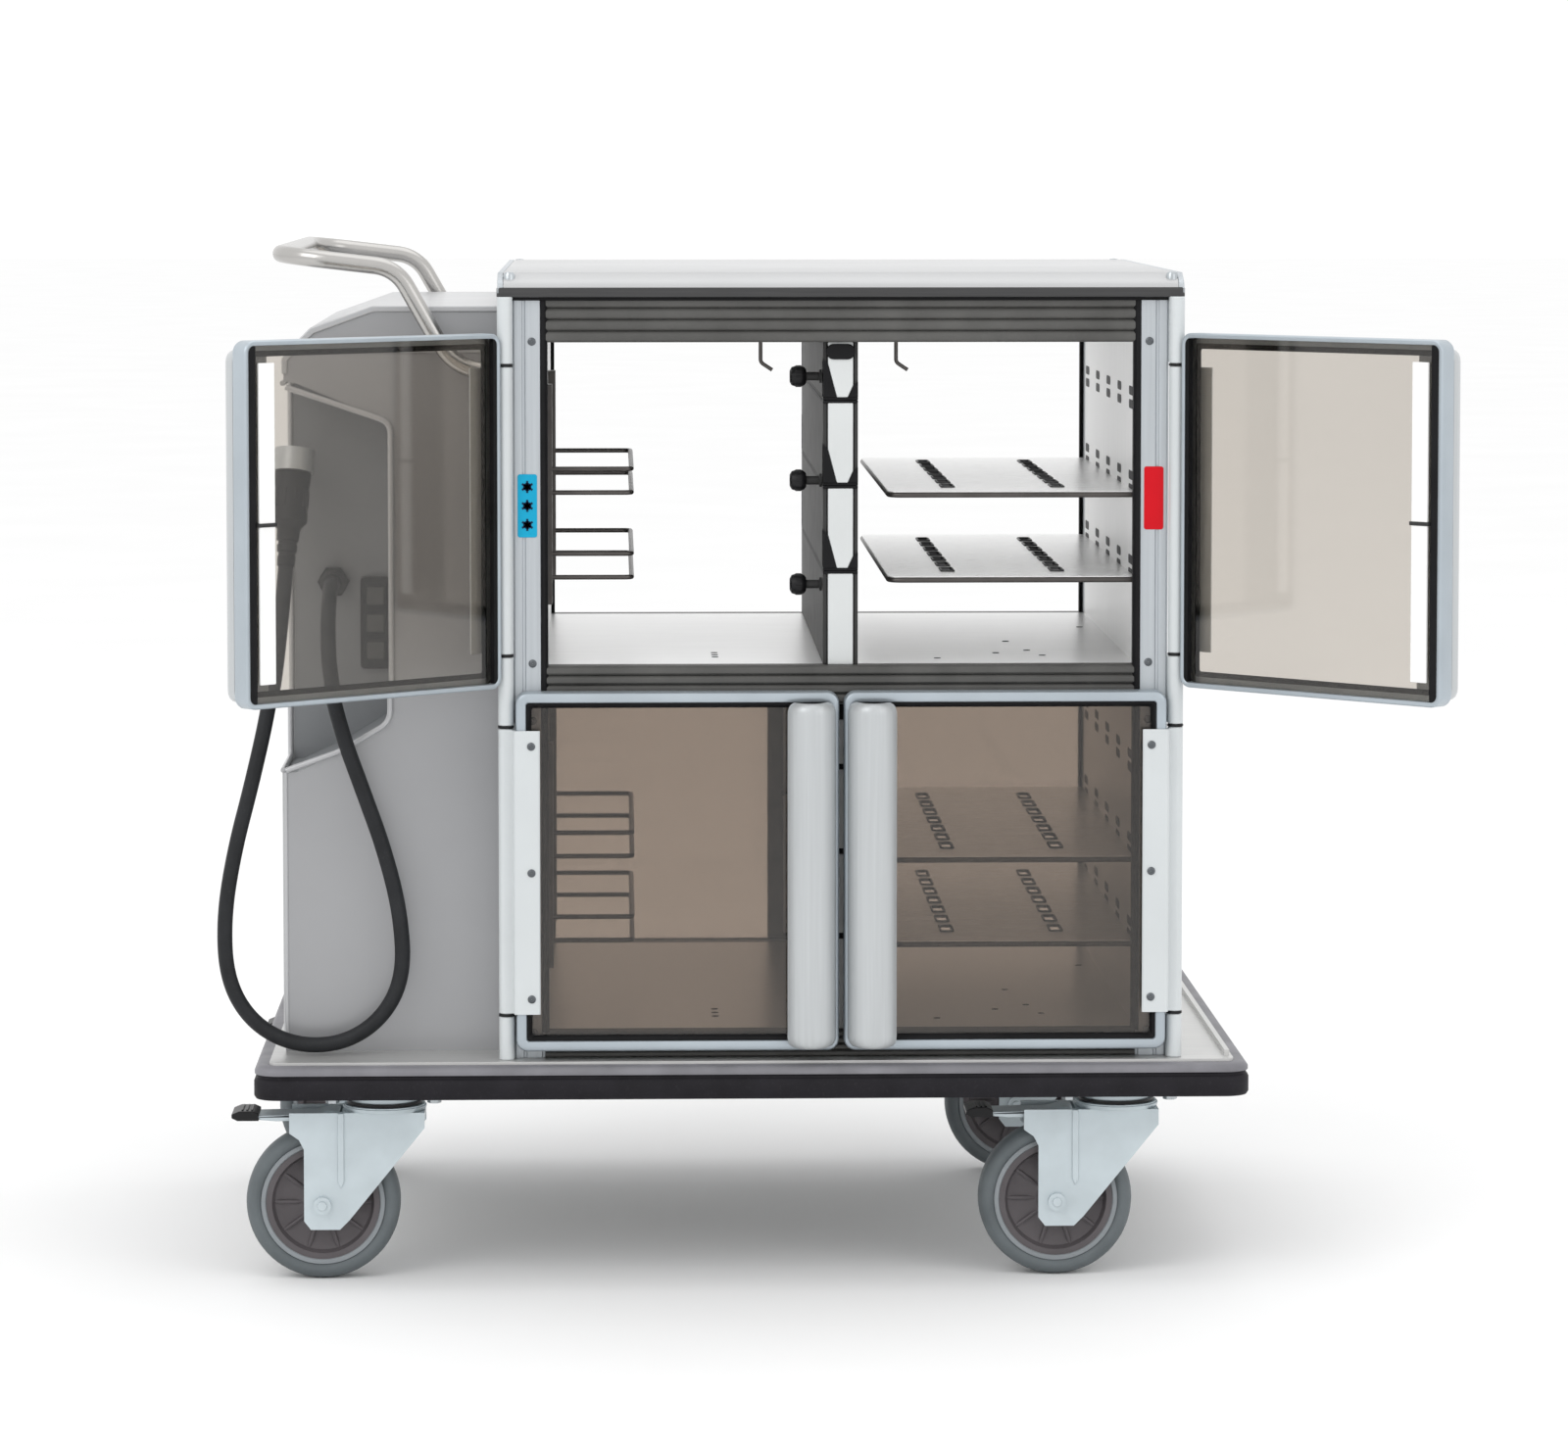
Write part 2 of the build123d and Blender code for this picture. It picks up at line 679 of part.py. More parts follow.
def plug_dock():
    """Parking socket for the plug, on an arm from the niche's back wall."""
    top = PLUG_RELIEF + PLUG_BODY
    cup = route_frame() * Pos(0, 0, top + 12) * Cylinder(PLUG_R + 2, 24)
    centre = cup.center()
    dock = cup + block(centre.X - 8, centre.X + 8, centre.Y + 8, NICHE_BACK_Y,
                       centre.Z, centre.Z + 9)
    for x in (-PIN_SPACING / 2, PIN_SPACING / 2):
        dock -= route_frame() * Pos(x, 0, top + 9.5) * Cylinder(2.5, 19)
    return [dock]


def compressor():
    """Hermetic compressor on a foot plate."""
    body = upright(-375, 150, DECK_TOP + 6, DECK_TOP + 150, 68)
    body = fillet(body.edges().group_by(Axis.Z)[-1], 30)
    return [body + block(-450, -300, 75, 225, DECK_TOP, DECK_TOP + 6)]


def condenser():
    """Finned condenser with the fan's shroud behind it."""
    fins = []
    for step in range(10):
        x = -445 + step * 16
        fins.append(block(x, x + 3, 252, 282, 320, 480))
    shroud = block(-450, -290, 240, 252, 315, 485)
    shroud -= across(-370, 246, 400, 66, 40)
    for angle in (0, 90):
        shroud += Pos(-370, 249, 400) * Rot(0, angle + 45, 0) * Box(150, 4, 6)
    shroud += across(-370, 246, 400, 4, 10)
    joined = shroud
    for fin in fins:
        joined += fin
    return [joined]


def fan_rotor():
    """Five-bladed condenser fan, turning in the shroud's ring."""
    rotor = across(-370, 233, 400, 18, 15)
    for step in range(5):
        blade = Pos(36, 0, 0) * Rot(28, 0, 0) * Box(48, 3, 26)
        rotor += Pos(-370, 233, 400) * Rot(0, step * 72, 0) * blade
    return [rotor]


def heater_module():
    """Air heater box on the cabinet's left wall, above the condenser."""
    wall = CAB_X - CAB_HALF_X
    box = block(wall - 90, wall, -60, 200, 760, 900)
    for step in range(6):
        z = 780 + step * 18
        box -= block(wall - 95, wall - 84, -40, 180, z, z + 7)
    return [box]


def push_handle():
    """Bent tube handle with its flanges on the corner posts."""
    start = CAB_X - CAB_HALF_X
    half = ((start, 944), (-305, 944), (-365, 1050), (-485, 1064))
    front = [(x, -HANDLE_Y, z) for x, z in half]
    rear = [(x, HANDLE_Y, z) for x, z in reversed(half)]
    path = FilletPolyline(*front, *rear, radius=[52, 42, 48, 48, 42, 52])
    tube = sweep(Plane(path @ 0, z_dir=path % 0) * Circle(HANDLE_R), path=path)
    for face in FACES.values():
        tube += sideways(start - 2.5, face * HANDLE_Y, 944, 20, 5)
    return [tube]


# --- casters ----------------------------------------------------------------

def caster_places():
    """Name and swivel axis of each caster."""
    for face, y in FACES.items():
        for side, x in SIDES.items():
            yield f"{face}_{side}", x * CASTER_X, y * CASTER_Y


def caster_plates():
    """Top plates with the fixed bearing rings of the four casters."""
    plates = []
    for _, x, y in caster_places():
        plate = block(x - 70, x + 70, y - 55, y + 55, HEAD_TOP, CASTER_HEIGHT)
        plate += upright(x, y, CROWN_TOP + 6, HEAD_TOP, 36)
        plate -= upright(x, y, 0, HEAD_TOP, 8 + RUN_FIT)
        plates.append(plate)
    return plates


def caster_fork(x, y):
    """A pressed fork with its bearing cup, kingpin, axle and pedal pin."""
    wheel_x = x - TRAIL
    half = FORK_GAP / 2
    crown = block(x - 60, x + 42, y - half - FORK_SHEET, y + half + FORK_SHEET,
                  CROWN_BOTTOM, CROWN_TOP)
    crown -= block(x - 61, x - 44, y - 22, y + 22, 0, 300)
    fork = crown + upright(x, y, CROWN_TOP, CROWN_TOP + 6 - RUN_FIT, 42)
    fork += upright(x, y, CROWN_TOP, HEAD_TOP - 1, 8)
    for side in (-1, 1):
        inner = y + side * half
        outline = ((x - 98, CROWN_TOP), (x + 42, CROWN_TOP), (x + 42, 160), (wheel_x + 28, 64),
                   (wheel_x + 18, 54), (wheel_x - 12, 54), (wheel_x - 19, 63),
                   (wheel_x - 19, 138), (wheel_x - 24, 148), (x - 98, 155))
        leg = along_y(outline, min(inner, inner + side * FORK_SHEET),
                      max(inner, inner + side * FORK_SHEET))
        fork += leg
        fork += across(wheel_x, inner + side * (FORK_SHEET + 3), WHEEL_R, 9, 6)
        fork += across(x - PEDAL_PIVOT, y + side * 24, PEDAL_Z, 5, 4)
    fork += across(wheel_x, y, WHEEL_R, AXLE_R, FORK_GAP)
    fork += across(x - PEDAL_PIVOT, y, PEDAL_Z, PEDAL_PIN_R, 48)
    return [fork]


def caster_wheel(x, y):
    """Tyre on a dished hub with a running bore."""
    wheel_x = x - TRAIL
    tyre = across(wheel_x, y, WHEEL_R, WHEEL_R, WHEEL_WIDTH)
    tyre = fillet(tyre.edges(), 8)
    tyre -= across(wheel_x, y, WHEEL_R, 56, WHEEL_WIDTH + 4)
    hub = across(wheel_x, y, WHEEL_R, 56, 34)
    for side in (-1, 1):
        hub -= across(wheel_x, y + side * 14, WHEEL_R, 48, 10)
    hub += across(wheel_x, y, WHEEL_R, 18, HUB_WIDTH)
    bore = across(wheel_x, y, WHEEL_R, AXLE_R + RUN_FIT, HUB_WIDTH + 4)
    return [tyre, hub - bore]


def brake_pedal(x, y):
    """A pressed pedal with a moulded toe tip, hinged on the fork's crown."""
    pivot_x = x - PEDAL_PIVOT
    pedal = across(pivot_x, y, PEDAL_Z, 5, 40)
    pedal += block(pivot_x - 80, pivot_x, y - 20, y + 20, PEDAL_Z - 2, PEDAL_Z + 1)
    pedal -= across(pivot_x, y, PEDAL_Z, PEDAL_PIN_R + RUN_FIT, 50)
    tip = block(pivot_x - PEDAL_REACH, pivot_x - 80, y - 23, y + 23, PEDAL_Z - 4, PEDAL_Z + 6)
    tip = chamfer(tip.edges().filter_by(Axis.Y).group_by(Axis.X)[0], 3)
    return [pedal, tip]


# --- assembly ---------------------------------------------------------------

def nodes():
    """Every named node with its solids, about the platform's centre."""
    divider_blocks, divider_skins, divider_seals = divider()
    parts = {
        "chassis_frame": chassis_frame(),
        "deck_plate": deck_plate(),
        "bumper": bumper(),
        "corner_posts": corner_posts(),
        "side_walls": side_walls(),
        "cross_rails": cross_rails(),
        "liner_panels": liner_panels(),
        "roof_panel": roof_panel(),
        "divider_blocks": divider_blocks,
        "divider_skins": divider_skins,
        "divider_seals": divider_seals,
        "thumb_screws": thumb_screws(),
        "shelves": shelves(),
        "wire_brackets": wire_brackets(),
        "hinge_columns": hinge_columns(),
        "zone_labels": zone_labels(),
        "post_screws": post_screws(),
        "machine_casing": machine_casing(),
        "cable_niche": cable_niche(),
        "inlet_plate": inlet_plate(),
        "cable_gland": cable_gland(),
        "power_cable": power_cable(),
        "plug": plug(),
        "plug_dock": plug_dock(),
        "compressor": compressor(),
        "condenser": condenser(),
        "fan_rotor": fan_rotor(),
        "heater_module": heater_module(),
        "push_handle": push_handle(),
        "caster_plates": caster_plates(),
    }
    for name, x, y in caster_places():
        parts[f"fork_{name}"] = caster_fork(x, y)
        parts[f"wheel_{name}"] = caster_wheel(x, y)
        parts[f"brake_pedal_{name}"] = brake_pedal(x, y)
    for face_name, face in FACES.items():
        for tier, limits in TIERS.items():
            metal, pane = door_shapes(*limits)
            for side_name, side in SIDES.items():
                name = f"{face_name}_{tier}_{side_name}"
                angle = REST_ANGLES[name]
                parts[f"door_{name}"] = hung(metal, side, face, angle)
                parts[f"glass_{name}"] = hung(pane, side, face, angle)
    return parts


def main():
    os.makedirs("parts", exist_ok=True)
    for name, solids in nodes().items():
        placed = [solid for shape in solids for solid in place(shape).solids()]
        export_step(Compound(placed), f"parts/{name}.step")


if __name__ == "__main__":
    main()
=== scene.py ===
from math import cos, pi, radians, sin

import bmesh
import bpy
from mathutils import Matrix, Vector


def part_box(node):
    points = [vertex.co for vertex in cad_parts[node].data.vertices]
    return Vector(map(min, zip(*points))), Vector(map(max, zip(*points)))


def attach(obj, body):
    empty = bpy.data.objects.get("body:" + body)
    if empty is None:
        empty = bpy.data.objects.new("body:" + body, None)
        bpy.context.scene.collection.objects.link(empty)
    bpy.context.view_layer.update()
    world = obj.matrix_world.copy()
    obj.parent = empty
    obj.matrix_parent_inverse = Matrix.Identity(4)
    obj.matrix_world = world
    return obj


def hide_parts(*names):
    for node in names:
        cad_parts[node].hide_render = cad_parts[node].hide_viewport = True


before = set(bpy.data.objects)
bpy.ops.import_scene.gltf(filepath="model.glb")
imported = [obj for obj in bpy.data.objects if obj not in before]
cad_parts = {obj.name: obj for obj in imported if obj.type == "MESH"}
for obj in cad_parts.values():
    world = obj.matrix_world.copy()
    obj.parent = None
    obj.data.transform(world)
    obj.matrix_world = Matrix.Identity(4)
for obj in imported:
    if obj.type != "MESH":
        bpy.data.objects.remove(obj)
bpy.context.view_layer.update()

# --- Places and sizes, in metres, about the platform's centre on the floor ---


def middle(node):
    """The middle of a node's box, in the part's own frame."""
    low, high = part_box(node)
    return (Vector(low) + Vector(high)) / 2


HOME = middle("bumper")
HOME.z = 0.0

CAB_X = 0.0915
CAB_HALF_X = 0.337
CAB_HALF_Y = 0.344
POST = Vector((0.032, 0.040))
INNER_HALF_X = CAB_HALF_X - POST.x
DECK_TOP = 0.235
CAB_TOP = 1.021
ROOF_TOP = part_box("roof_panel")[1][2]
ROOF_HALF = 0.352
UPPER = (0.641, 0.974)
LOWER = (0.262, 0.602)
FLOORS = (UPPER[0], LOWER[0])
TRAY_LEVELS = (0.090, 0.178, 0.266)
DIVIDER_HALF = 0.018
DIVIDER_SKIN = 0.004
DIVIDER_END = 0.332
KNOB_RISES = (0.080, 0.188, 0.296)
KNOB_INSET = 0.045
SHELF_LEFT = CAB_X + DIVIDER_HALF + 0.032
SHELF_END = 0.320
SLOT_ROWS = (0.34, 0.74)
SLOT_STEP = 0.076
AIR_SLOT_Y = (-0.270, -0.135, 0.0, 0.135, 0.270)
AIR_SLOT_RISES = (0.0, 0.014)
DRAIN_HOLES = ((-0.12775, -0.240), (-0.12775, -0.215), (-0.12775, -0.190), (0.16925, -0.200),
               (0.18925, -0.060), (0.20425, -0.170), (0.21625, -0.230), (0.10425, -0.260),
               (0.28425, 0.120))

HINGE_X = 0.3445
HINGE_Y = 0.352
DOOR_LEFT = 0.010
DOOR_RIGHT = 0.342
DOOR_OUT = -0.016
DOOR_IN = 0.006
DOOR_CORNER = 0.012
GRIP_X = 0.3125
GRIP_R = 0.026
GRIP_INNER_R = 0.0222
DOOR_Z = {"upper": (0.620, 0.984), "lower": (0.245, 0.616)}
LEAF_HALF = 0.1475
REST_ANGLES = {"front_upper_left": 138, "front_upper_right": 135,
               "rear_upper_left": 92, "rear_upper_right": 92}

CASING_LEFT = -0.484
CASING_Y = 0.290
CASING_TOP = 1.008
NICHE_RIGHT = -0.374
NICHE_BACK = -0.150

CORD_D = 0.016
CORD_ROUTE = (
    (-0.440, -0.190, 0.715),
    (-0.440, -0.236, 0.715),
    (-0.440, -0.290, 0.684),
    (-0.437, -0.322, 0.630),
    (-0.423, -0.323, 0.571),
    (-0.401, -0.323, 0.510),
    (-0.379, -0.322, 0.448),
    (-0.363, -0.321, 0.382),
    (-0.360, -0.320, 0.316),
    (-0.384, -0.320, 0.271),
    (-0.426, -0.320, 0.246),
    (-0.476, -0.320, 0.246),
    (-0.518, -0.320, 0.270),
    (-0.543, -0.319, 0.314),
    (-0.546, -0.317, 0.378),
    (-0.535, -0.311, 0.447),
    (-0.516, -0.301, 0.520),
    (-0.499, -0.286, 0.597),
    (-0.490, -0.266, 0.671),
    (-0.485, -0.247, 0.742),
)

PLUG_RIBS = 10
PIN_HALF_SPACING = 0.0095

BUMPER_CORNER = 0.026
HANDLE_Y = 0.318
HANDLE_Z = 0.944
FLANGE_SCREW_R = 0.0145

WHEEL_R = 0.080
TRAIL = 0.064
CASTER_X = 0.381
CASTER_Y = 0.300
PEDAL_PIVOT = 0.052
PEDAL_Z = 0.171
FORK_HALF = 0.030

SIDES = {"left": -1, "right": 1}
FACES = {"front": -1, "rear": 1}
CORNERS = [(side, face) for side in SIDES.values() for face in FACES.values()]

scene = bpy.context.scene
scene.view_settings.view_transform = "Standard"


# --- Materials ---------------------------------------------------------------

MATS = {}


def material(name, colour, rough, metal=0.0, vary=0.08, grain=30.0, stretch=(1, 1, 1),
             rough_vary=0.12, bump=0.0, bump_grain=900.0, coat=0.0, glassy=0.0, speck=0.0,
             specular=0.5):
    """A procedural surface: mottled colour, uneven roughness and a fine relief."""
    mat = bpy.data.materials.new(name)
    mat.use_nodes = True
    nodes = mat.node_tree.nodes
    links = mat.node_tree.links
    shader = nodes["Principled BSDF"]
    shader.inputs["Metallic"].default_value = metal
    shader.inputs["Coat Weight"].default_value = coat
    shader.inputs["Transmission Weight"].default_value = glassy
    shader.inputs["Specular IOR Level"].default_value = specular
    coords = nodes.new("ShaderNodeTexCoord")
    mapping = nodes.new("ShaderNodeMapping")
    mapping.inputs["Scale"].default_value = stretch
    links.new(coords.outputs["Object"], mapping.inputs["Vector"])

    def noise(scale, detail):
        node = nodes.new("ShaderNodeTexNoise")
        node.inputs["Scale"].default_value = scale
        node.inputs["Detail"].default_value = detail
        links.new(mapping.outputs["Vector"], node.inputs["Vector"])
        return node

    cloud = noise(grain, 4.0)
    ramp = nodes.new("ShaderNodeValToRGB")
    ramp.color_ramp.elements[0].position = 0.3
    ramp.color_ramp.elements[1].position = 0.7
    ramp.color_ramp.elements[0].color = [c * (1 - vary) for c in colour] + [1]
    ramp.color_ramp.elements[1].color = [min(1, c * (1 + vary)) for c in colour] + [1]
    links.new(cloud.outputs["Fac"], ramp.inputs["Fac"])
    surface = ramp.outputs["Color"]
    if speck:
        dust = noise(grain * 14, 2.0)
        dots = nodes.new("ShaderNodeValToRGB")
        dots.color_ramp.elements[0].position = 0.62
        dots.color_ramp.elements[1].position = 0.70
        dots.color_ramp.elements[1].color = [min(1, c + speck) for c in (0.5, 0.5, 0.5)] + [1]
        links.new(dust.outputs["Fac"], dots.inputs["Fac"])
        mix = nodes.new("ShaderNodeMix")
        mix.data_type = "RGBA"
        mix.blend_type = "ADD"
        mix.inputs["Factor"].default_value = speck
        links.new(surface, mix.inputs["A"])
        links.new(dots.outputs["Color"], mix.inputs["B"])
        surface = mix.outputs["Result"]
    links.new(surface, shader.inputs["Base Color"])

    sheen = noise(grain * 2.3, 5.0)
    spread = nodes.new("ShaderNodeMapRange")
    spread.inputs["To Min"].default_value = max(0.02, rough * (1 - rough_vary))
    spread.inputs["To Max"].default_value = min(1.0, rough * (1 + rough_vary))
    links.new(sheen.outputs["Fac"], spread.inputs["Value"])
    links.new(spread.outputs["Result"], shader.inputs["Roughness"])

    if bump:
        relief = noise(bump_grain, 3.0)
        bumper = nodes.new("ShaderNodeBump")
        bumper.inputs["Strength"].default_value = bump
        bumper.inputs["Distance"].default_value = 0.001
        links.new(relief.outputs["Fac"], bumper.inputs["Height"])
        links.new(bumper.outputs["Normal"], shader.inputs["Normal"])
    MATS[name] = mat


BRUSH_X = (1, 40, 40)
BRUSH_Z = (40, 40, 1)
material("stainless", (0.58, 0.58, 0.57), 0.36, 0.55, 0.06, 12, BRUSH_X, bump=0.05, bump_grain=60)
material("wall_steel", (0.90, 0.90, 0.895), 0.34, 0.55, 0.05, 10, BRUSH_Z, bump=0.05,
         bump_grain=60)
material("liner_steel", (0.90, 0.90, 0.895), 0.30, 0.60, 0.05, 12, BRUSH_X, bump=0.05,
         bump_grain=60)
material("post_aluminium", (0.46, 0.49, 0.515), 0.36, 0.40, 0.05, 6, BRUSH_Z, bump=0.04,
         bump_grain=50)
material("door_aluminium", (0.40, 0.45, 0.49), 0.32, 0.45, 0.06, 14, bump=0.03, bump_grain=700)
material("roof_white", (0.47, 0.475, 0.48), 0.36, 0.2, 0.03, 5, bump=0.04, bump_grain=500,
         coat=0.1)
material("white_enamel", (0.57, 0.60, 0.61), 0.34, 0.0, 0.03, 9, bump=0.03, bump_grain=500,
         coat=0.15)
material("grip_grey", (0.47, 0.49, 0.50), 0.34, 0.25, 0.04, 7, BRUSH_Z, bump=0.03, bump_grain=60,
         coat=0.1)
material("dark_plastic", (0.085, 0.084, 0.080), 0.46, 0.0, 0.16, 20, bump=0.10, bump_grain=1400,
         speck=0.01, specular=0.35)
material("rubber", (0.012, 0.011, 0.014), 0.60, 0.0, 0.25, 26, bump=0.16, bump_grain=1100,
         speck=0.01, specular=0.18)
material("bumper_top", (0.19, 0.188, 0.205), 0.50, 0.0, 0.18, 18, bump=0.12, bump_grain=900,
         speck=0.01, specular=0.35)
# A black rubber for the seals; on the strip under the roof it is painted shadow, and inside the
# punched holes painted shade.
material("gasket", (0.007, 0.007, 0.008), 0.5, 0.0, 0.2, 30, bump=0.08, specular=0.15)
material("casing_grey", (0.335, 0.338, 0.348), 0.36, 0.25, 0.04, 4, bump=0.06, bump_grain=650,
         coat=0.08)
# A lighter copy of the casing grey: painted light on the casing's top and painted highlights along
# its edges.
material("casing_highlight_grey", (0.46, 0.465, 0.475), 0.32, 0.25, 0.04, 8, bump=0.03, coat=0.1)
material("niche_grey", (0.24, 0.25, 0.26), 0.45, 0.2, 0.06, 6, bump=0.06, bump_grain=650)
material("insulation", (0.60, 0.62, 0.62), 0.36, 0.0, 0.03, 12, bump=0.05, bump_grain=800,
         coat=0.05)
# A near-black grey; on the divider's covers it is painted shade on the divider's sides.
material("divider_grey", (0.036, 0.036, 0.036), 0.5, 0.1, 0.12, 16, bump=0.03, bump_grain=170,
         specular=0.25)
material("shelf_steel", (0.92, 0.92, 0.915), 0.28, 0.65, 0.05, 12, BRUSH_X, bump=0.05,
         bump_grain=60)
material("wire_steel", (0.085, 0.078, 0.074), 0.34, 0.75, 0.15, 40, bump=0.04, bump_grain=1000)
material("handle_steel", (0.46, 0.45, 0.435), 0.24, 0.95, 0.03, 12, bump=0.05, bump_grain=1200)
material("zinc", (0.52, 0.585, 0.615), 0.34, 0.40, 0.07, 22, bump=0.06, bump_grain=420, coat=0.1)
material("tyre", (0.115, 0.132, 0.140), 0.58, 0.0, 0.12, 24, bump=0.14, bump_grain=1200,
         speck=0.01, specular=0.35)
material("tyre_ring", (0.24, 0.26, 0.275), 0.46, 0.0, 0.08, 20, bump=0.06, bump_grain=900,
         specular=0.3)
material("hub", (0.100, 0.090, 0.095), 0.42, 0.1, 0.10, 18, bump=0.08, bump_grain=700,
         specular=0.3)
material("black_plastic", (0.009, 0.009, 0.010), 0.38, 0.0, 0.2, 30, bump=0.08, bump_grain=1300,
         specular=0.25)
material("cable", (0.014, 0.015, 0.017), 0.50, 0.0, 0.25, 30, bump=0.14, bump_grain=1500,
         speck=0.01, specular=0.25)
material("screw", (0.45, 0.48, 0.50), 0.28, 0.9, 0.10, 60, bump=0.04)
material("dark_screw", (0.12, 0.13, 0.14), 0.32, 0.8, 0.10, 60, bump=0.04)
material("cyan", (0.008, 0.34, 0.55), 0.40, 0.0, 0.05, 20, bump=0.03, specular=0.15)
material("navy", (0.006, 0.022, 0.060), 0.4, 0.0, 0.1, 20, bump=0.03, specular=0.15)
material("red", (0.58, 0.004, 0.012), 0.40, 0.0, 0.05, 20, bump=0.03, specular=0.15)
material("white_strip", (0.88, 0.88, 0.87), 0.40, 0.0, 0.02, 10, bump=0.03)
# A near-black steel: painted shade on the roof's lower edge and round the shelf slots.
material("shade_dark_steel", (0.055, 0.055, 0.056), 0.42, 0.3, 0.10, 12, BRUSH_X, bump=0.04,
         bump_grain=60, specular=0.3)
material("chassis", (0.12, 0.13, 0.14), 0.45, 0.4, 0.12, 10, bump=0.08, bump_grain=500)
material("glass_upper", (0.615, 0.575, 0.525), 0.03, 0.0, 0.02, 3, glassy=1.0, rough_vary=0.3,
         specular=0.25)
# A darker copy of the same tinted glass: painted shade of the closed lower compartments seen through
# it.
material("glass_lower", (0.48, 0.42, 0.37), 0.03, 0.0, 0.02, 3, glassy=1.0, rough_vary=0.3,
         specular=0.35)
material("floor", (0.90, 0.90, 0.90), 0.9, 0.0, 0.01, 2, bump=0.02, specular=0.0)


# --- Mesh helpers. Outlines are in metres about the platform's centre. -------

def join_rings(bm, rings, closed=False):
    """Faces from ring to ring; the last ring meets the first, or both ends are capped."""
    following = rings[1:]
    if closed:
        following = rings[1:] + rings[:1]
    else:
        bm.faces.new(rings[0])
        bm.faces.new(rings[-1])
    for here, there in zip(rings, following):
        for i in range(len(here)):
            j = (i + 1) % len(here)
            bm.faces.new((here[i], here[j], there[j], there[i]))


def add_prism(bm, outline, axis, low, high):
    """Extrude a closed outline along an axis, between two places in either order."""
    def point(a, b, along):
        if axis == "x":
            return (along, a, b)
        if axis == "y":
            return (a, along, b)
        return (a, b, along)

    bottom = [bm.verts.new(point(a, b, low)) for a, b in outline]
    top = [bm.verts.new(point(a, b, high)) for a, b in outline]
    join_rings(bm, [bottom, top])


def hexagon(cx, cz, radius, turn=0.0):
    """Corners of a hexagon about a point."""
    return [(cx + radius * cos(pi / 3 * i + turn), cz + radius * sin(pi / 3 * i + turn))
            for i in range(6)]


def add_box(bm, x0, x1, y0, y1, z0, z1):
    """A box given by its limits."""
    add_prism(bm, ((x0, y0), (x1, y0), (x1, y1), (x0, y1)), "z", z0, z1)


def add_lathe(bm, profile, centre, axis, count=48):
    """Turn a closed profile of (radius, along) points about an axis."""
    direction = Vector(axis).normalized()
    across = direction.orthogonal().normalized()
    other = direction.cross(across)
    rings = []
    for radius, along in profile:
        ring = []
        for step in range(count):
            angle = 2 * pi * step / count
            spoke = across * cos(angle) + other * sin(angle)
            ring.append(bm.verts.new(Vector(centre) + direction * along + spoke * radius))
        rings.append(ring)
    join_rings(bm, rings, closed=True)


def add_rod(bm, start, end, radius, count=24):
    """A capped cylinder between two points."""
    start = Vector(start)
    end = Vector(end)
    direction = (end - start).normalized()
    across = direction.orthogonal().normalized()
    other = direction.cross(across)
    rings = []
    for place in (start, end):
        rings.append([bm.verts.new(place + (across * cos(2 * pi * i / count)
                                            + other * sin(2 * pi * i / count)) * radius)
                      for i in range(count)])
    join_rings(bm, rings)


def add_screw(bm, place, normal, radius, height):
    """A domed head with a hex socket."""
    profile = [(0.0004, 0.0), (radius, 0.0), (radius, height * 0.35), (radius * 0.8, height * 0.8),
               (radius * 0.5, height), (radius * 0.45, height), (radius * 0.42, height * 0.4),
               (0.0004, height * 0.4)]
    add_lathe(bm, profile, place, normal, 18)


def rounded_rect(width, height, radius, steps=6):
    """Points of a rounded rectangle about its centre, anticlockwise."""
    points = []
    for quarter, (sx, sz) in enumerate(((1, 1), (-1, 1), (-1, -1), (1, -1))):
        cx = sx * (width / 2 - radius)
        cz = sz * (height / 2 - radius)
        for step in range(steps + 1):
            angle = pi / 2 * (quarter + step / steps)
            points.append((cx + radius * cos(angle), cz + radius * sin(angle)))
    return points


def add_ring(bm, profile, width, height, radius, centre):
    """Sweep a closed profile of (inset, y) points round a rounded rectangle in XZ."""
    cx, cz = centre
    rings = []
    for inset, y in profile:
        outline = rounded_rect(width - 2 * inset, height - 2 * inset,
                               max(radius - inset, 0.003))
        rings.append([bm.verts.new((cx + x, y, cz + z)) for x, z in outline])
    join_rings(bm, rings, closed=True)


def add_band(bm, profile, width, depth, radius, centre=(0.0, 0.0), steps=8):
    """Sweep a closed profile of (inset, z) points round a rounded rectangle in XY."""
    cx, cy = centre
    rings = []
    for inset, z in profile:
        outline = rounded_rect(width - 2 * inset, depth - 2 * inset,
                               max(radius - inset, 0.001), steps)
        rings.append([bm.verts.new((cx + x, cy + y, z)) for x, y in outline])
    join_rings(bm, rings, closed=True)


def add_loft(bm, sections):
    """Join equal-length rings of points and cap the ends."""
    join_rings(bm, [[bm.verts.new(point) for point in section] for section in sections])


def piece(name, bm, mat, body="root", stands_for=(), bevel=0.0007, turn=None,
          sharp=38, segments=2):
    """Make a scene object from a bmesh, place it, shade it and let it ride a body."""
    if turn is not None:
        bmesh.ops.transform(bm, matrix=turn, verts=bm.verts)
    bmesh.ops.translate(bm, verts=bm.verts, vec=HOME)
    bmesh.ops.recalc_face_normals(bm, faces=bm.faces)
    mesh = bpy.data.meshes.new(name)
    bm.to_mesh(mesh)
    bm.free()
    obj = bpy.data.objects.new(name, mesh)
    scene.collection.objects.link(obj)
    mesh.materials.append(MATS[mat])
    mesh.polygons.foreach_set("use_smooth", [True] * len(mesh.polygons))
    mesh.set_sharp_from_angle(angle=radians(sharp))
    soften(obj, bevel, segments, harden=True)
    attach(obj, body)
    if stands_for:
        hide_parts(*stands_for)
    return obj


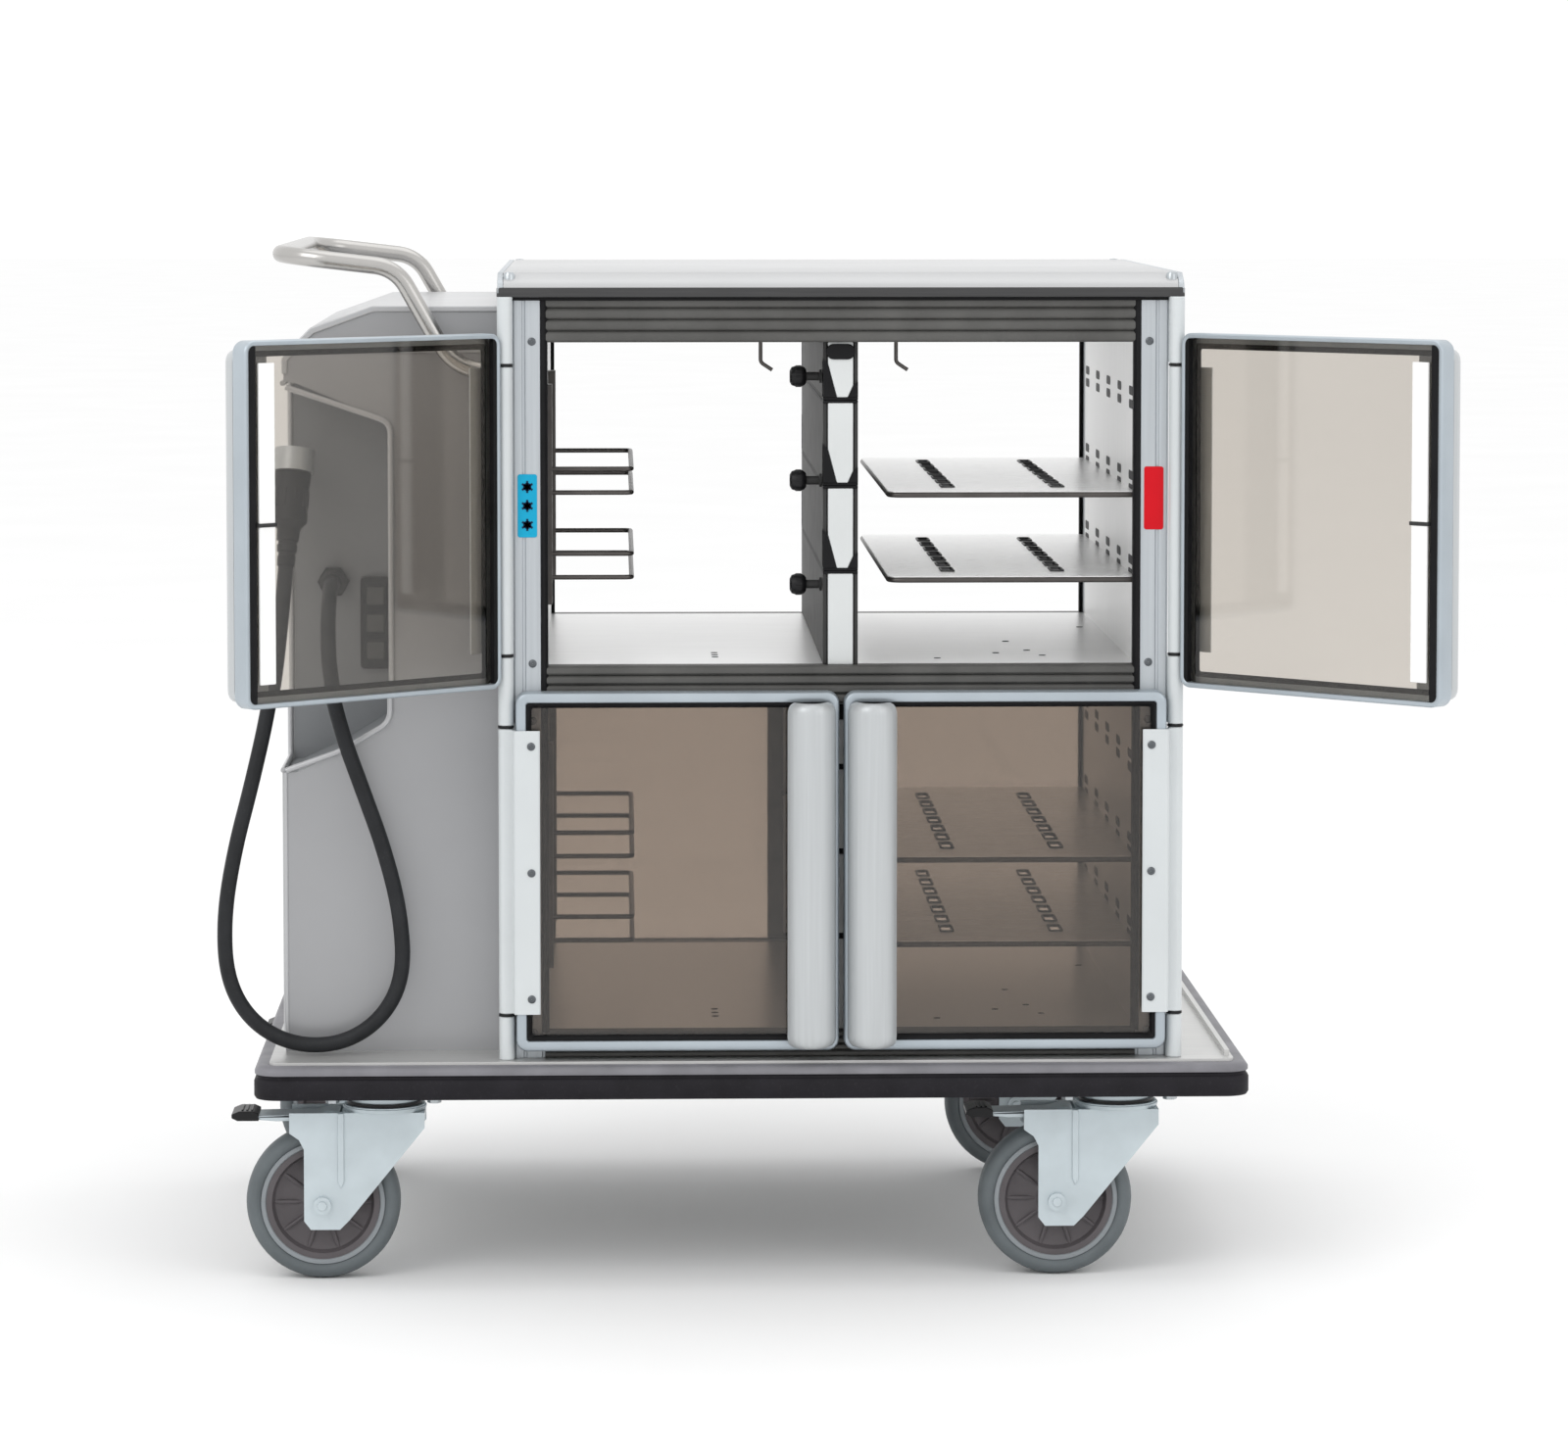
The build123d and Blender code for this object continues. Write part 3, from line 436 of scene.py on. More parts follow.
def soften(obj, width, segments=2, harden=False):
    """Round the edges off with a bevel, where there is one."""
    if not width:
        return
    edges = obj.modifiers.new("edges", "BEVEL")
    edges.width = width
    edges.segments = segments
    edges.limit_method = "ANGLE"
    edges.angle_limit = radians(42)
    edges.harden_normals = harden


def finish_node(node, mat, bevel=0.0):
    """Give a CAD node its material and softened edges."""
    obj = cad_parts[node]
    obj.data.materials.clear()
    obj.data.materials.append(MATS[mat])
    for polygon in obj.data.polygons:
        polygon.material_index = 0
    soften(obj, bevel)


# --- Power cable, strain relief and plug -------------------------------------

def build_gland(start):
    """Ribbed strain relief and its nut on the niche's back wall."""
    relief = bmesh.new()
    profile = [(0.0086, 0.002), (0.0095, -0.004), (0.0100, -0.0045), (0.0100, -0.0065),
               (0.0106, -0.007), (0.0112, -0.012), (0.0118, -0.0125), (0.0118, -0.0145),
               (0.0124, -0.015), (0.0130, -0.020), (0.0138, -0.0205), (0.0142, -0.026),
               (0.0082, -0.026), (0.0082, 0.002)]
    add_lathe(relief, profile, start, (0, -1, 0), 32)
    piece("gland_relief", relief, "black_plastic", bevel=0.0003)
    nut = bmesh.new()
    add_prism(nut, hexagon(start.x, start.z, 0.017), "y", NICHE_BACK - 0.012, NICHE_BACK)
    add_rod(nut, (start.x, NICHE_BACK - 0.016, start.z), (start.x, NICHE_BACK - 0.012, start.z),
            0.0152, 28)
    piece("gland_nut", nut, "black_plastic",
          stands_for=["cable_gland"], bevel=0.0008)


def build_plug():
    """Moulded plug with a ribbed grip, and its two pins, at the lead's far end."""
    end = Vector(CORD_ROUTE[-1])
    heading = (end - Vector(CORD_ROUTE[-2])).normalized()
    grip = bmesh.new()
    profile = [(0.0080, -0.004), (0.0092, -0.004), (0.0096, 0.006), (0.0088, 0.007),
               (0.0088, 0.010), (0.0104, 0.011), (0.0108, 0.018), (0.0098, 0.019),
               (0.0098, 0.022), (0.0116, 0.023), (0.0122, 0.034), (0.0140, 0.038),
               (0.0186, 0.043), (0.0190, 0.050), (0.0176, 0.056), (0.0176, 0.078),
               (0.0190, 0.084), (0.0190, 0.0955), (0.0080, 0.0955)]
    add_lathe(grip, profile, end, heading, 40)
    rib = Vector((1, 0, 0)) - heading * heading.x
    rib.normalize()
    side = heading.cross(rib)
    for step in range(PLUG_RIBS):
        angle = 2 * pi * step / PLUG_RIBS
        spoke = rib * cos(angle) + side * sin(angle)
        foot = end + spoke * 0.0172
        add_rod(grip, foot + heading * 0.058, foot + heading * 0.077, 0.0016, 10)
    plug = piece("plug_body", grip, "black_plastic",
                 stands_for=["plug"], bevel=0.0004)
    pins = bmesh.new()
    for offset in (-PIN_HALF_SPACING, PIN_HALF_SPACING):
        foot = end + rib * offset
        add_rod(pins, foot + heading * 0.094, foot + heading * 0.113, 0.0023, 16)
    contacts = piece("plug_pins", pins, "screw", bevel=0.0003)
    return plug, contacts


def build_cable():
    """The lead as one spline, with its strain relief, plug and pins."""
    curve = bpy.data.curves.new("cable_run", "CURVE")
    curve.dimensions = "3D"
    curve.bevel_depth = CORD_D / 2
    curve.bevel_resolution = 6
    curve.resolution_u = 24
    curve.use_fill_caps = True
    spline = curve.splines.new("NURBS")
    spline.points.add(len(CORD_ROUTE) - 1)
    for point, place in zip(spline.points, CORD_ROUTE):
        point.co = (*(Vector(place) + HOME), 1.0)
    spline.order_u = 3
    spline.use_endpoint_u = True
    cable = bpy.data.objects.new("cable_run", curve)
    scene.collection.objects.link(cable)
    curve.materials.append(MATS["cable"])
    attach(cable, "root")
    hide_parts("power_cable")

    start = Vector(CORD_ROUTE[0])
    build_gland(start)
    plug, contacts = build_plug()


# --- Doors -------------------------------------------------------------------

def grip_sections(low, high):
    """The grip's cross-section at heights from one rounded end to the other."""
    centre = Vector((GRIP_X, DOOR_OUT - 0.004))
    outer = [radians(a) for a in range(-158, 9, 9)]
    inner = [radians(a) for a in range(4, -140, -9)]
    outline = [(GRIP_R * cos(a), GRIP_R * sin(a)) for a in outer]
    outline += [(GRIP_INNER_R * cos(a), GRIP_INNER_R * sin(a)) for a in inner]
    sections = []
    ends = ((0.0, 0.72), (0.0015, 0.84), (0.004, 0.93), (0.008, 0.985), (0.012, 1.0))
    heights = [(low + d, k) for d, k in ends] + [(high - d, k) for d, k in reversed(ends)]
    for z, scale in heights:
        drop = (1 - scale) * 0.02
        sections.append([(centre.x + x * scale, centre.y + y + drop * (y < -0.004), z)
                         for x, y in outline])
    return sections


def door_turn(name, side, face):
    """Places a door, drawn closed about its own hinge, where it stands at rest."""
    mirror = Matrix.Diagonal((-side, -face, 1, 1))
    swing = Matrix.Rotation(radians(-REST_ANGLES.get(name, 0) * side * face), 4, "Z")
    return Matrix.Translation((CAB_X + side * HINGE_X, face * HINGE_Y, 0)) @ swing @ mirror


def build_glazing(name, body, tier, turn):
    """Aluminium rim, its gaskets and the tinted pane."""
    low, high = DOOR_Z[tier]
    height = high - low
    width = DOOR_RIGHT - DOOR_LEFT
    centre = ((DOOR_LEFT + DOOR_RIGHT) / 2, (low + high) / 2)
    rim = bmesh.new()
    profile = [(0.0, DOOR_OUT + 0.004), (0.0012, DOOR_OUT + 0.0012), (0.004, DOOR_OUT),
               (0.0085, DOOR_OUT), (0.0102, DOOR_OUT + 0.0010), (0.0108, DOOR_OUT + 0.0030),
               (0.0108, DOOR_OUT + 0.0070), (0.0050, DOOR_OUT + 0.0070),
               (0.0050, DOOR_IN - 0.0005), (0.0040, DOOR_IN), (0.0012, DOOR_IN),
               (0.0, DOOR_IN - 0.0015)]
    add_ring(rim, profile, width, height, DOOR_CORNER, centre)
    piece(f"{name}_rim", rim, "door_aluminium", body,
          [f"door_{name}"], 0.0004, turn)

    seal = bmesh.new()
    add_ring(seal, [(0.0106, DOOR_OUT + 0.0030), (0.0125, DOOR_OUT + 0.0022),
                    (0.0160, DOOR_OUT + 0.0060), (0.0165, DOOR_OUT + 0.0079),
                    (0.0106, DOOR_OUT + 0.0079)], width, height, DOOR_CORNER, centre)
    for left, right in ((DOOR_LEFT + 0.0050, DOOR_LEFT + 0.0095),
                        (DOOR_RIGHT - 0.0145, DOOR_RIGHT - 0.0050)):
        add_box(seal, left, right, DOOR_IN - 0.0080, DOOR_IN - 0.0008, low + 0.0052,
                high - 0.0052)
    piece(f"{name}_gasket", seal, "gasket", body, (), 0.0008, turn)

    pane = bmesh.new()
    outline = [(x + centre[0], z + centre[1]) for x, z in
               rounded_rect(width - 0.0104, height - 0.0104, 0.008)]
    add_prism(pane, outline, "y", DOOR_OUT + 0.008, DOOR_IN - 0.008)
    piece(f"{name}_pane", pane, f"glass_{tier}", body, [f"glass_{name}"], 0.0, turn)


def build_hinge_leaf(name, body, tier, turn):
    """Folded hinge leaf with its sleeve and three screws."""
    mid_z = sum(DOOR_Z[tier]) / 2
    leaf = bmesh.new()
    leaf_low = mid_z - LEAF_HALF
    leaf_high = mid_z + LEAF_HALF
    add_lathe(leaf, [(0.0046, 0.0), (0.0072, 0.0), (0.008, 0.001), (0.008, 2 * LEAF_HALF - 0.001),
                     (0.0072, 2 * LEAF_HALF), (0.0046, 2 * LEAF_HALF)],
              (0, 0, leaf_low), (0, 0, 1), 32)
    bend = [(0.0, -0.008), (0.006, -0.0085), (0.0078, -0.011), (0.0078, -0.0175),
            (0.0095, -0.019), (0.0335, -0.019), (0.035, -0.0178), (0.035, DOOR_OUT),
            (0.0100, DOOR_OUT), (0.0100, -0.006), (0.006, -0.0045), (0.0, -0.0055)]
    add_prism(leaf, bend, "z", leaf_low + 0.001, leaf_high - 0.001)
    piece(f"{name}_hinge_leaf", leaf, "white_enamel", body, (), 0.0004, turn)

    screws = bmesh.new()
    for z in (leaf_low + 0.017, mid_z, leaf_high - 0.017):
        add_screw(screws, (0.026, -0.019, z), (0, -1, 0), 0.0042, 0.0018)
    piece(f"{name}_leaf_screws", screws, "dark_screw", body, (), 0.0, turn)


def build_grip(name, body, tier, turn):
    """Convex grip along the free edge, and the strip clipped inside it."""
    low, high = DOOR_Z[tier]
    mid_z = (low + high) / 2
    grip = bmesh.new()
    add_loft(grip, grip_sections(low + 0.005, high - 0.010))
    piece(f"{name}_grip", grip, "grip_grey", body, (), 0.0, turn, sharp=50)

    strip = bmesh.new()
    add_box(strip, 0.306, 0.3255, DOOR_IN - 0.0015, DOOR_IN + 0.0015, low + 0.024, high - 0.022)
    piece(f"{name}_inner_strip", strip, "white_strip", body, (), 0.0008, turn)
    clip = bmesh.new()
    add_box(clip, 0.304, 0.3275, DOOR_IN - 0.0025, DOOR_IN + 0.0025, mid_z - 0.002, mid_z + 0.002)
    piece(f"{name}_strip_clip", clip, "divider_grey", body, (), 0.0008, turn)


def build_door(face_name, tier, side_name):
    """One door, with everything that swings with it."""
    name = f"{face_name}_{tier}_{side_name}"
    turn = door_turn(name, SIDES[side_name], FACES[face_name])
    for build in (build_glazing, build_hinge_leaf, build_grip):
        build(name, f"leaf_{name}", tier, turn)


# --- Cabinet -----------------------------------------------------------------

def build_posts():
    """Grooved corner profiles with their black seals and screws."""
    posts = bmesh.new()
    seals = bmesh.new()
    screws = bmesh.new()
    for side, face in CORNERS:
        outer = CAB_X + side * CAB_HALF_X
        front = face * CAB_HALF_Y

        def across(u, v):
            return (outer - side * u, front - face * v)

        outline = [across(u, v) for u, v in (
            (0, 0.002), (0.002, 0), (0.0095, 0), (0.0105, 0.0016), (0.0125, 0.0016),
            (0.0135, 0), (0.0285, 0), (0.0292, 0.003), (0.032, 0.003), (0.032, 0.040),
            (0, 0.040))]
        add_prism(posts, outline, "z", DECK_TOP, CAB_TOP)
        lip = [across(u, v) for u, v in (
            (0.0288, 0.0028), (0.0290, -0.0010), (0.0330, -0.0010), (0.0360, 0.002),
            (0.0360, 0.014), (0.0322, 0.014), (0.0322, 0.0030))]
        add_prism(seals, lip, "z", LOWER[0], CAB_TOP - 0.004)
        for z in (0.975, 0.644, 0.585, 0.262):
            add_screw(screws, (outer - side * 0.020, front, z), (0, face, 0), 0.0042, 0.0016)
    piece("post_profiles", posts, "post_aluminium",
          stands_for=["corner_posts"], bevel=0.0005)
    piece("post_seals", seals, "gasket", bevel=0.0004)
    piece("post_screw_heads", screws, "dark_screw",
          stands_for=["post_screws"], bevel=0.0)


def build_rails():
    """Ribbed fascias and rails with rounded ribs."""
    rails = bmesh.new()
    spans = ((UPPER[1], CAB_TOP), (LOWER[1], UPPER[0]), (DECK_TOP, LOWER[0]))
    for face in FACES.values():
        front = face * (CAB_HALF_Y - 0.0004)
        back = face * (CAB_HALF_Y - 0.026)
        for low, high in spans:
            ribs = 4
            outline = [(back, low), (front - face * 0.004, low)]
            step = (high - low) / ribs
            for rib in range(ribs):
                z = low + rib * step
                outline += [(front - face * 0.0015, z + step * 0.08), (front, z + step * 0.25),
                            (front, z + step * 0.72), (front - face * 0.0015, z + step * 0.90)]
                if rib < ribs - 1:
                    outline.append((front - face * 0.0045, z + step))
            outline += [(front - face * 0.004, high), (back, high)]
            add_prism(rails, outline, "x", CAB_X - INNER_HALF_X, CAB_X + INNER_HALF_X)
    piece("ribbed_rails", rails, "dark_plastic",
          stands_for=["cross_rails"], bevel=0.0004)


def build_roof():
    """Roof sheet with end caps, a dark band round its lower edge that is painted shade, corner studs
    and a black strip below that is painted shadow.
    """
    roof = bmesh.new()
    y = ROOF_HALF
    top = ROOF_TOP - 0.0005
    outline = [(-y + 0.002, CAB_TOP + 0.001), (-y, CAB_TOP + 0.004), (-y, CAB_TOP + 0.011),
               (-y + 0.002, CAB_TOP + 0.0145), (-y + 0.006, CAB_TOP + 0.017),
               (-y + 0.022, top), (y - 0.022, top), (y - 0.006, CAB_TOP + 0.017),
               (y - 0.002, CAB_TOP + 0.0145), (y, CAB_TOP + 0.011), (y, CAB_TOP + 0.004),
               (y - 0.002, CAB_TOP + 0.001)]
    add_prism(roof, outline, "x", CAB_X - ROOF_HALF + 0.006, CAB_X + ROOF_HALF - 0.006)
    piece("roof_sheet", roof, "roof_white",
          stands_for=["roof_panel"], bevel=0.0010, segments=3)
    caps = bmesh.new()
    for side in SIDES.values():
        x = CAB_X + side * (ROOF_HALF - 0.003)
        widened = [(a * 0.9995, b) for a, b in outline]
        add_prism(caps, widened, "x", x - 0.003, x + 0.003)
    piece("roof_end_caps", caps, "post_aluminium", bevel=0.0012,
          segments=3)
    # Dark band round the roof's lower edge: painted shade.
    edge_shade = bmesh.new()
    add_band(edge_shade, [(0.0, CAB_TOP - 0.0005), (-0.0008, CAB_TOP), (-0.0008, CAB_TOP + 0.0085),
                      (0.0, CAB_TOP + 0.0095), (0.004, CAB_TOP + 0.0095),
                      (0.004, CAB_TOP - 0.0005)], 2 * ROOF_HALF, 2 * ROOF_HALF, 0.004,
             (CAB_X, 0.0))
    piece("roof_shade_band", edge_shade, "shade_dark_steel", bevel=0.0)
    studs = bmesh.new()
    for side, face in CORNERS:
        place = (CAB_X + side * (ROOF_HALF - 0.012), face * (ROOF_HALF - 0.012),
                 CAB_TOP + 0.014)
        add_lathe(studs, [(0.0004, 0), (0.006, 0), (0.006, 0.008), (0.0045, 0.0108),
                          (0.0004, 0.0116)], place, (0, 0, 1), 24)
    piece("roof_studs", studs, "screw", bevel=0.0)
    # Black strip under the roof's front and rear edges: painted shadow.
    light_effect_strip = bmesh.new()
    for face in FACES.values():
        near = face * (CAB_HALF_Y + 0.001)
        far = face * (CAB_HALF_Y - 0.012)
        add_box(light_effect_strip, CAB_X - CAB_HALF_X, CAB_X + CAB_HALF_X, near, far,
                CAB_TOP - 0.004, CAB_TOP + 0.001)
    piece("roof_shadow_strip", light_effect_strip, "gasket", bevel=0.0006)


def build_hinge_columns():
    """Fixed hinge segments, washers and pins at the four corners."""
    columns = bmesh.new()
    washers = bmesh.new()
    pins = bmesh.new()
    spans = []
    for tier in ("lower", "upper"):
        mid_z = sum(DOOR_Z[tier]) / 2
        spans.append((mid_z - LEAF_HALF, mid_z + LEAF_HALF))
    segments = ((DECK_TOP, spans[0][0] - 0.003), (spans[0][1] + 0.003, spans[1][0] - 0.003),
                (spans[1][1] + 0.003, CAB_TOP))
    for side, face in CORNERS:
        x = CAB_X + side * HINGE_X
        y = face * HINGE_Y
        wall = CAB_X + side * (CAB_HALF_X - 0.0005)
        add_rod(pins, (x, y, DECK_TOP + 0.002), (x, y, CAB_TOP), 0.004, 20)
        for low, high in segments:
            tall = high - low
            add_lathe(columns, [(0.0041, 0), (0.0072, 0), (0.008, 0.001),
                                (0.008, tall - 0.001), (0.0072, tall), (0.0041, tall)],
                      (x, y, low), (0, 0, 1), 32)
            add_box(columns, x - side * 0.001, wall, y - face * 0.001, y - face * 0.014,
                    low + 0.001, high - 0.001)
        for leaf_low, leaf_high in spans:
            for z in (leaf_low - 0.0028, leaf_high + 0.0003):
                add_lathe(washers, [(0.0042, 0), (0.0083, 0), (0.0083, 0.0025),
                                    (0.0042, 0.0025)], (x, y, z), (0, 0, 1), 32)
    piece("hinge_segments", columns, "white_enamel",
          stands_for=["hinge_columns"], bevel=0.0004)
    piece("hinge_washers", washers, "black_plastic", bevel=0.0003)
    piece("hinge_pins", pins, "screw", bevel=0.0)


def add_star(bm, x, y, z, face, size):
    """A six-armed frost mark, a little proud of its label."""
    add_rod(bm, (x, y, z), (x, y + face * 0.0004, z), 0.0042, 20)
    for arm in range(3):
        angle = pi / 6 + arm * pi / 3
        dx = size * cos(angle)
        dz = size * sin(angle)
        nx = -0.0011 * sin(angle)
        nz = 0.0011 * cos(angle)
        outline = [(x - dx - nx, z - dz - nz), (x + dx - nx, z + dz - nz),
                   (x + dx + nx, z + dz + nz), (x - dx + nx, z - dz + nz)]
        add_prism(bm, outline, "y", y, y + face * 0.0004)


def build_labels():
    """Cold and hot zone labels; the cold one has three frost marks."""
    for side, name, mat, low, high in ((-1, "cold_label", "cyan", 0.774, 0.839),
                                       (1, "hot_label", "red", 0.781, 0.846)):
        label = bmesh.new()
        marks = bmesh.new()
        for face in FACES.values():
            x = CAB_X + side * (CAB_HALF_X - POST.x / 2 + 0.001)
            y = face * CAB_HALF_Y
            outline = [(x + a, (low + high) / 2 + b)
                       for a, b in rounded_rect(0.020, high - low, 0.0025, 4)]
            add_prism(label, outline, "y", y, y + face * 0.0008)
            if side < 0:
                for step in (-1, 0, 1):
                    add_star(marks, x, y + face * 0.0008, (low + high) / 2 + step * 0.0195,
                             face, 0.0062)
        piece(name, label, mat, bevel=0.0003,
              stands_for=["zone_labels"])
        if side < 0:
            piece("cold_label_marks", marks, "navy", bevel=0.0)
        else:
            marks.free()


# --- Divider and interior ----------------------------------------------------

def divider_bands(floor, ceiling):
    """The stretches of divider between the tray slots, and the slots' heights."""
    slots = [floor + level + 0.007 for level in TRAY_LEVELS]
    edges = [floor] + [z for slot in slots for z in (slot - 0.003, slot + 0.003)] + [ceiling]
    return list(zip(edges[::2], edges[1::2])), slots


def build_divider():
    """Pinched insulating end blocks, dark grey covers that are painted shade on the divider's sides,
    slot lips and black end caps.
    """
    blocks = bmesh.new()
    skins = bmesh.new()
    seals = bmesh.new()
    caps = bmesh.new()
    core = DIVIDER_HALF - DIVIDER_SKIN
    end = DIVIDER_END
    for floor, ceiling in (UPPER, LOWER):
        bands, slots = divider_bands(floor, ceiling)
        for low, high in bands:
            pinch = 0.009 if low > floor else 0.0
            for face in FACES.values():
                near = face * end
                deep = face * (end - 0.022)
                left = CAB_X - core + 0.001
                right = CAB_X + core - 0.001
                outline = [(left + pinch, low), (right - pinch * 0.6, low),
                           (right, low + 0.012), (right, high), (left, high),
                           (left, low + 0.034)]
                add_prism(blocks, outline, "y", near, deep)
                if pinch:
                    proud = face * 0.0006
                    wedge = [(CAB_X - DIVIDER_HALF, low), (left + pinch, low),
                             (left, low + 0.034), (CAB_X - DIVIDER_HALF, low + 0.040)]
                    add_prism(seals, wedge, "y", near + proud, deep)
                    wedge = [(CAB_X + DIVIDER_HALF, low), (right - pinch * 0.6, low),
                             (right, low + 0.012), (CAB_X + DIVIDER_HALF, low + 0.016)]
                    add_prism(seals, wedge, "y", near + proud, deep)
            add_box(blocks, CAB_X - core, CAB_X + core, -end + 0.022, end - 0.022, low, high)
            for side in SIDES.values():
                inner = CAB_X + side * core
                outer = CAB_X + side * DIVIDER_HALF
                add_box(skins, inner, outer, -end + 0.003, end - 0.003, low, high)
        for slot in slots:
            for lip in (-0.0016, 0.0016):
                add_box(seals, CAB_X - DIVIDER_HALF, CAB_X + DIVIDER_HALF, -end + 0.001,
                        end - 0.001, slot + lip - 0.0014, slot + lip + 0.0014)
        for face in FACES.values():
            y = face * (end - 0.004)
            outline = [(CAB_X + a, ceiling - 0.010 + b)
                       for a, b in rounded_rect(0.030, 0.016, 0.0079, 6)]
            add_prism(caps, outline, "y", y, y + face * 0.006)
    piece("insulating_blocks", blocks, "insulation",
          stands_for=["divider_blocks"], bevel=0.0012, segments=3)
    # The covers' dark grey is painted shade on the divider's side faces.
    piece("divider_shade_covers", skins, "divider_grey",
          stands_for=["divider_skins"], bevel=0.0006)
    piece("slot_lips", seals, "gasket",
          stands_for=["divider_seals"], bevel=0.0004)
    piece("divider_caps", caps, "gasket", bevel=0.001, segments=3)


def build_knobs():
    """Ribbed clamping knobs on short stems, near the divider's front end."""
    knobs = bmesh.new()
    stems = bmesh.new()
    x = CAB_X - DIVIDER_HALF
    for floor in FLOORS:
        for rise in KNOB_RISES:
            place = (x, -DIVIDER_END + KNOB_INSET, floor + rise)
            add_lathe(stems, [(0.0004, 0), (0.007, 0), (0.007, 0.002), (0.0045, 0.003),
                              (0.0045, 0.018), (0.0004, 0.018)], place, (-1, 0, 0), 24)
            add_lathe(knobs, [(0.0004, 0.016), (0.007, 0.016), (0.0095, 0.018),
                              (0.0108, 0.021), (0.0108, 0.027), (0.0095, 0.031),
                              (0.006, 0.033), (0.0004, 0.033)], place, (-1, 0, 0), 28)
            for step in range(12):
                angle = pi / 6 * step
                rib = Vector(place) + Vector((-0.021, 0.0102 * cos(angle),
                                              0.0102 * sin(angle)))
                add_rod(knobs, rib, rib + Vector((-0.006, 0, 0)), 0.0011, 8)
    piece("knob_heads", knobs, "black_plastic",
          stands_for=["thumb_screws"], bevel=0.0)
    piece("knob_stems", stems, "divider_grey", bevel=0.0)


def build_shelf_details():
    """Dark edge wires of the shelves, and the pressed lips round their slots, coloured dark as
    painted shade at the slot edges.
    """
    wall = CAB_X + INNER_HALF_X
    for tier, floor in (("upper", UPPER[0]), ("lower", LOWER[0])):
        for number, level in enumerate(TRAY_LEVELS[:2]):
            z = floor + level - 0.0035
            left = SHELF_LEFT + 0.0008
            end = SHELF_END + 0.0008
            tube(f"shelf_edge_{tier}_{number + 1}", ((wall, -end, z), (left, -end, z),
                 (left, end, z), (wall, end, z)), 0.0028, "wire_steel",
                 soft=0.016)
    lips = bmesh.new()
    for floor in FLOORS:
        for level in TRAY_LEVELS[:2]:
            z = floor + level
            for row in SLOT_ROWS:
                x = CAB_X + DIVIDER_HALF + row * (INNER_HALF_X - DIVIDER_HALF)
                for step in range(-3, 4):
                    add_band(lips, [(0.0, z - 0.0015), (-0.0016, z - 0.0002), (-0.0012, z + 0.0014),
                                    (0.0002, z + 0.0016), (0.0010, z - 0.0015)],
                             0.012, 0.044, 0.0025, (x, step * SLOT_STEP), 3)
    # The lips' near-black steel is painted shade round the slots.
    piece("shelf_slot_lips", lips, "shade_dark_steel", bevel=0.0)

def build_hole_shade():
    """Black plugs in the hot wall's air slots and the floors' drain holes: painted shade in their
    depths.
    """
    wall = CAB_X + INNER_HALF_X
    holes = bmesh.new()
    for floor in FLOORS:
        for level in TRAY_LEVELS:
            for y in AIR_SLOT_Y:
                for rise in AIR_SLOT_RISES:
                    outline = [(y + a, floor + level + rise + b)
                               for a, b in rounded_rect(0.0412, 0.0092, 0.0045, 5)]
                    add_prism(holes, outline, "x", wall - 0.0004, wall + 0.003)
        for x, y in DRAIN_HOLES:
            add_rod(holes, (CAB_X + x, y, floor - 0.003), (CAB_X + x, y, floor + 0.0004),
                    0.0036, 20)
    piece("hole_shade_plugs", holes, "gasket", bevel=0.0)


# --- Machine casing and niche ------------------------------------------------

def tube(name, points, radius, mat, soft=0.012):
    """A bent rod through the points, its corners rounded as parabolas."""
    curve = bpy.data.curves.new(name, "CURVE")
    curve.dimensions = "3D"
    curve.bevel_depth = radius
    curve.bevel_resolution = 4
    curve.use_fill_caps = True
    spline = curve.splines.new("POLY")
    rounded = []
    places = [Vector(point) for point in points]
    count = len(places)
    for i, place in enumerate(places):
        if i in (0, count - 1):
            rounded.append(place)
            continue
        before = places[i - 1]
        after = places[i + 1]
        reach = min(soft, (before - place).length * 0.45, (after - place).length * 0.45)
        enter = place + (before - place).normalized() * reach
        leave = place + (after - place).normalized() * reach
        for step in range(7):
            t = step / 6
            rounded.append(enter * (1 - t) ** 2 + place * 2 * t * (1 - t) + leave * t ** 2)
    spline.points.add(len(rounded) - 1)
    for point, place in zip(spline.points, rounded):
        point.co = (*(place + HOME), 1.0)
    obj = bpy.data.objects.new(name, curve)
    scene.collection.objects.link(obj)
    curve.materials.append(MATS[mat])
    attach(obj, "root")


def build_casing():
    """Folded casing and niche, with lighter rods along their edges that are painted highlights."""
    finish_node("machine_casing", "casing_grey", 0.0025)
    finish_node("cable_niche", "niche_grey")
    finish_node("inlet_plate", "black_plastic", 0.0015)
    finish_node("plug_dock", "grip_grey", 0.001)
    front = -CASING_Y - 0.001
    left = CASING_LEFT - 0.001
    slope_top = 0.9266
    slope_low = 0.5286
    edge = 0.003
    # Lighter rods on the niche's and casing's edges: painted highlights.
    tube("niche_highlight_front", ((left + edge, front, slope_top), (NICHE_RIGHT, front, 0.890),
                             (NICHE_RIGHT, front, 0.579), (NICHE_RIGHT - 0.050, front, 0.549),
                             (left + edge, front, slope_low)), edge, "casing_highlight_grey")
    tube("niche_highlight_left", ((left, front + edge, slope_top + 0.004),
                            (left, NICHE_BACK, slope_top + 0.004), (left, NICHE_BACK, slope_low),
                            (left, front + edge, slope_low)), edge, "casing_highlight_grey")
    tube("casing_corner_highlight", ((left + 0.002, front + 0.002, DECK_TOP + 0.006),
                               (left + 0.002, front + 0.002, slope_low - 0.002)), edge,
         "casing_highlight_grey")


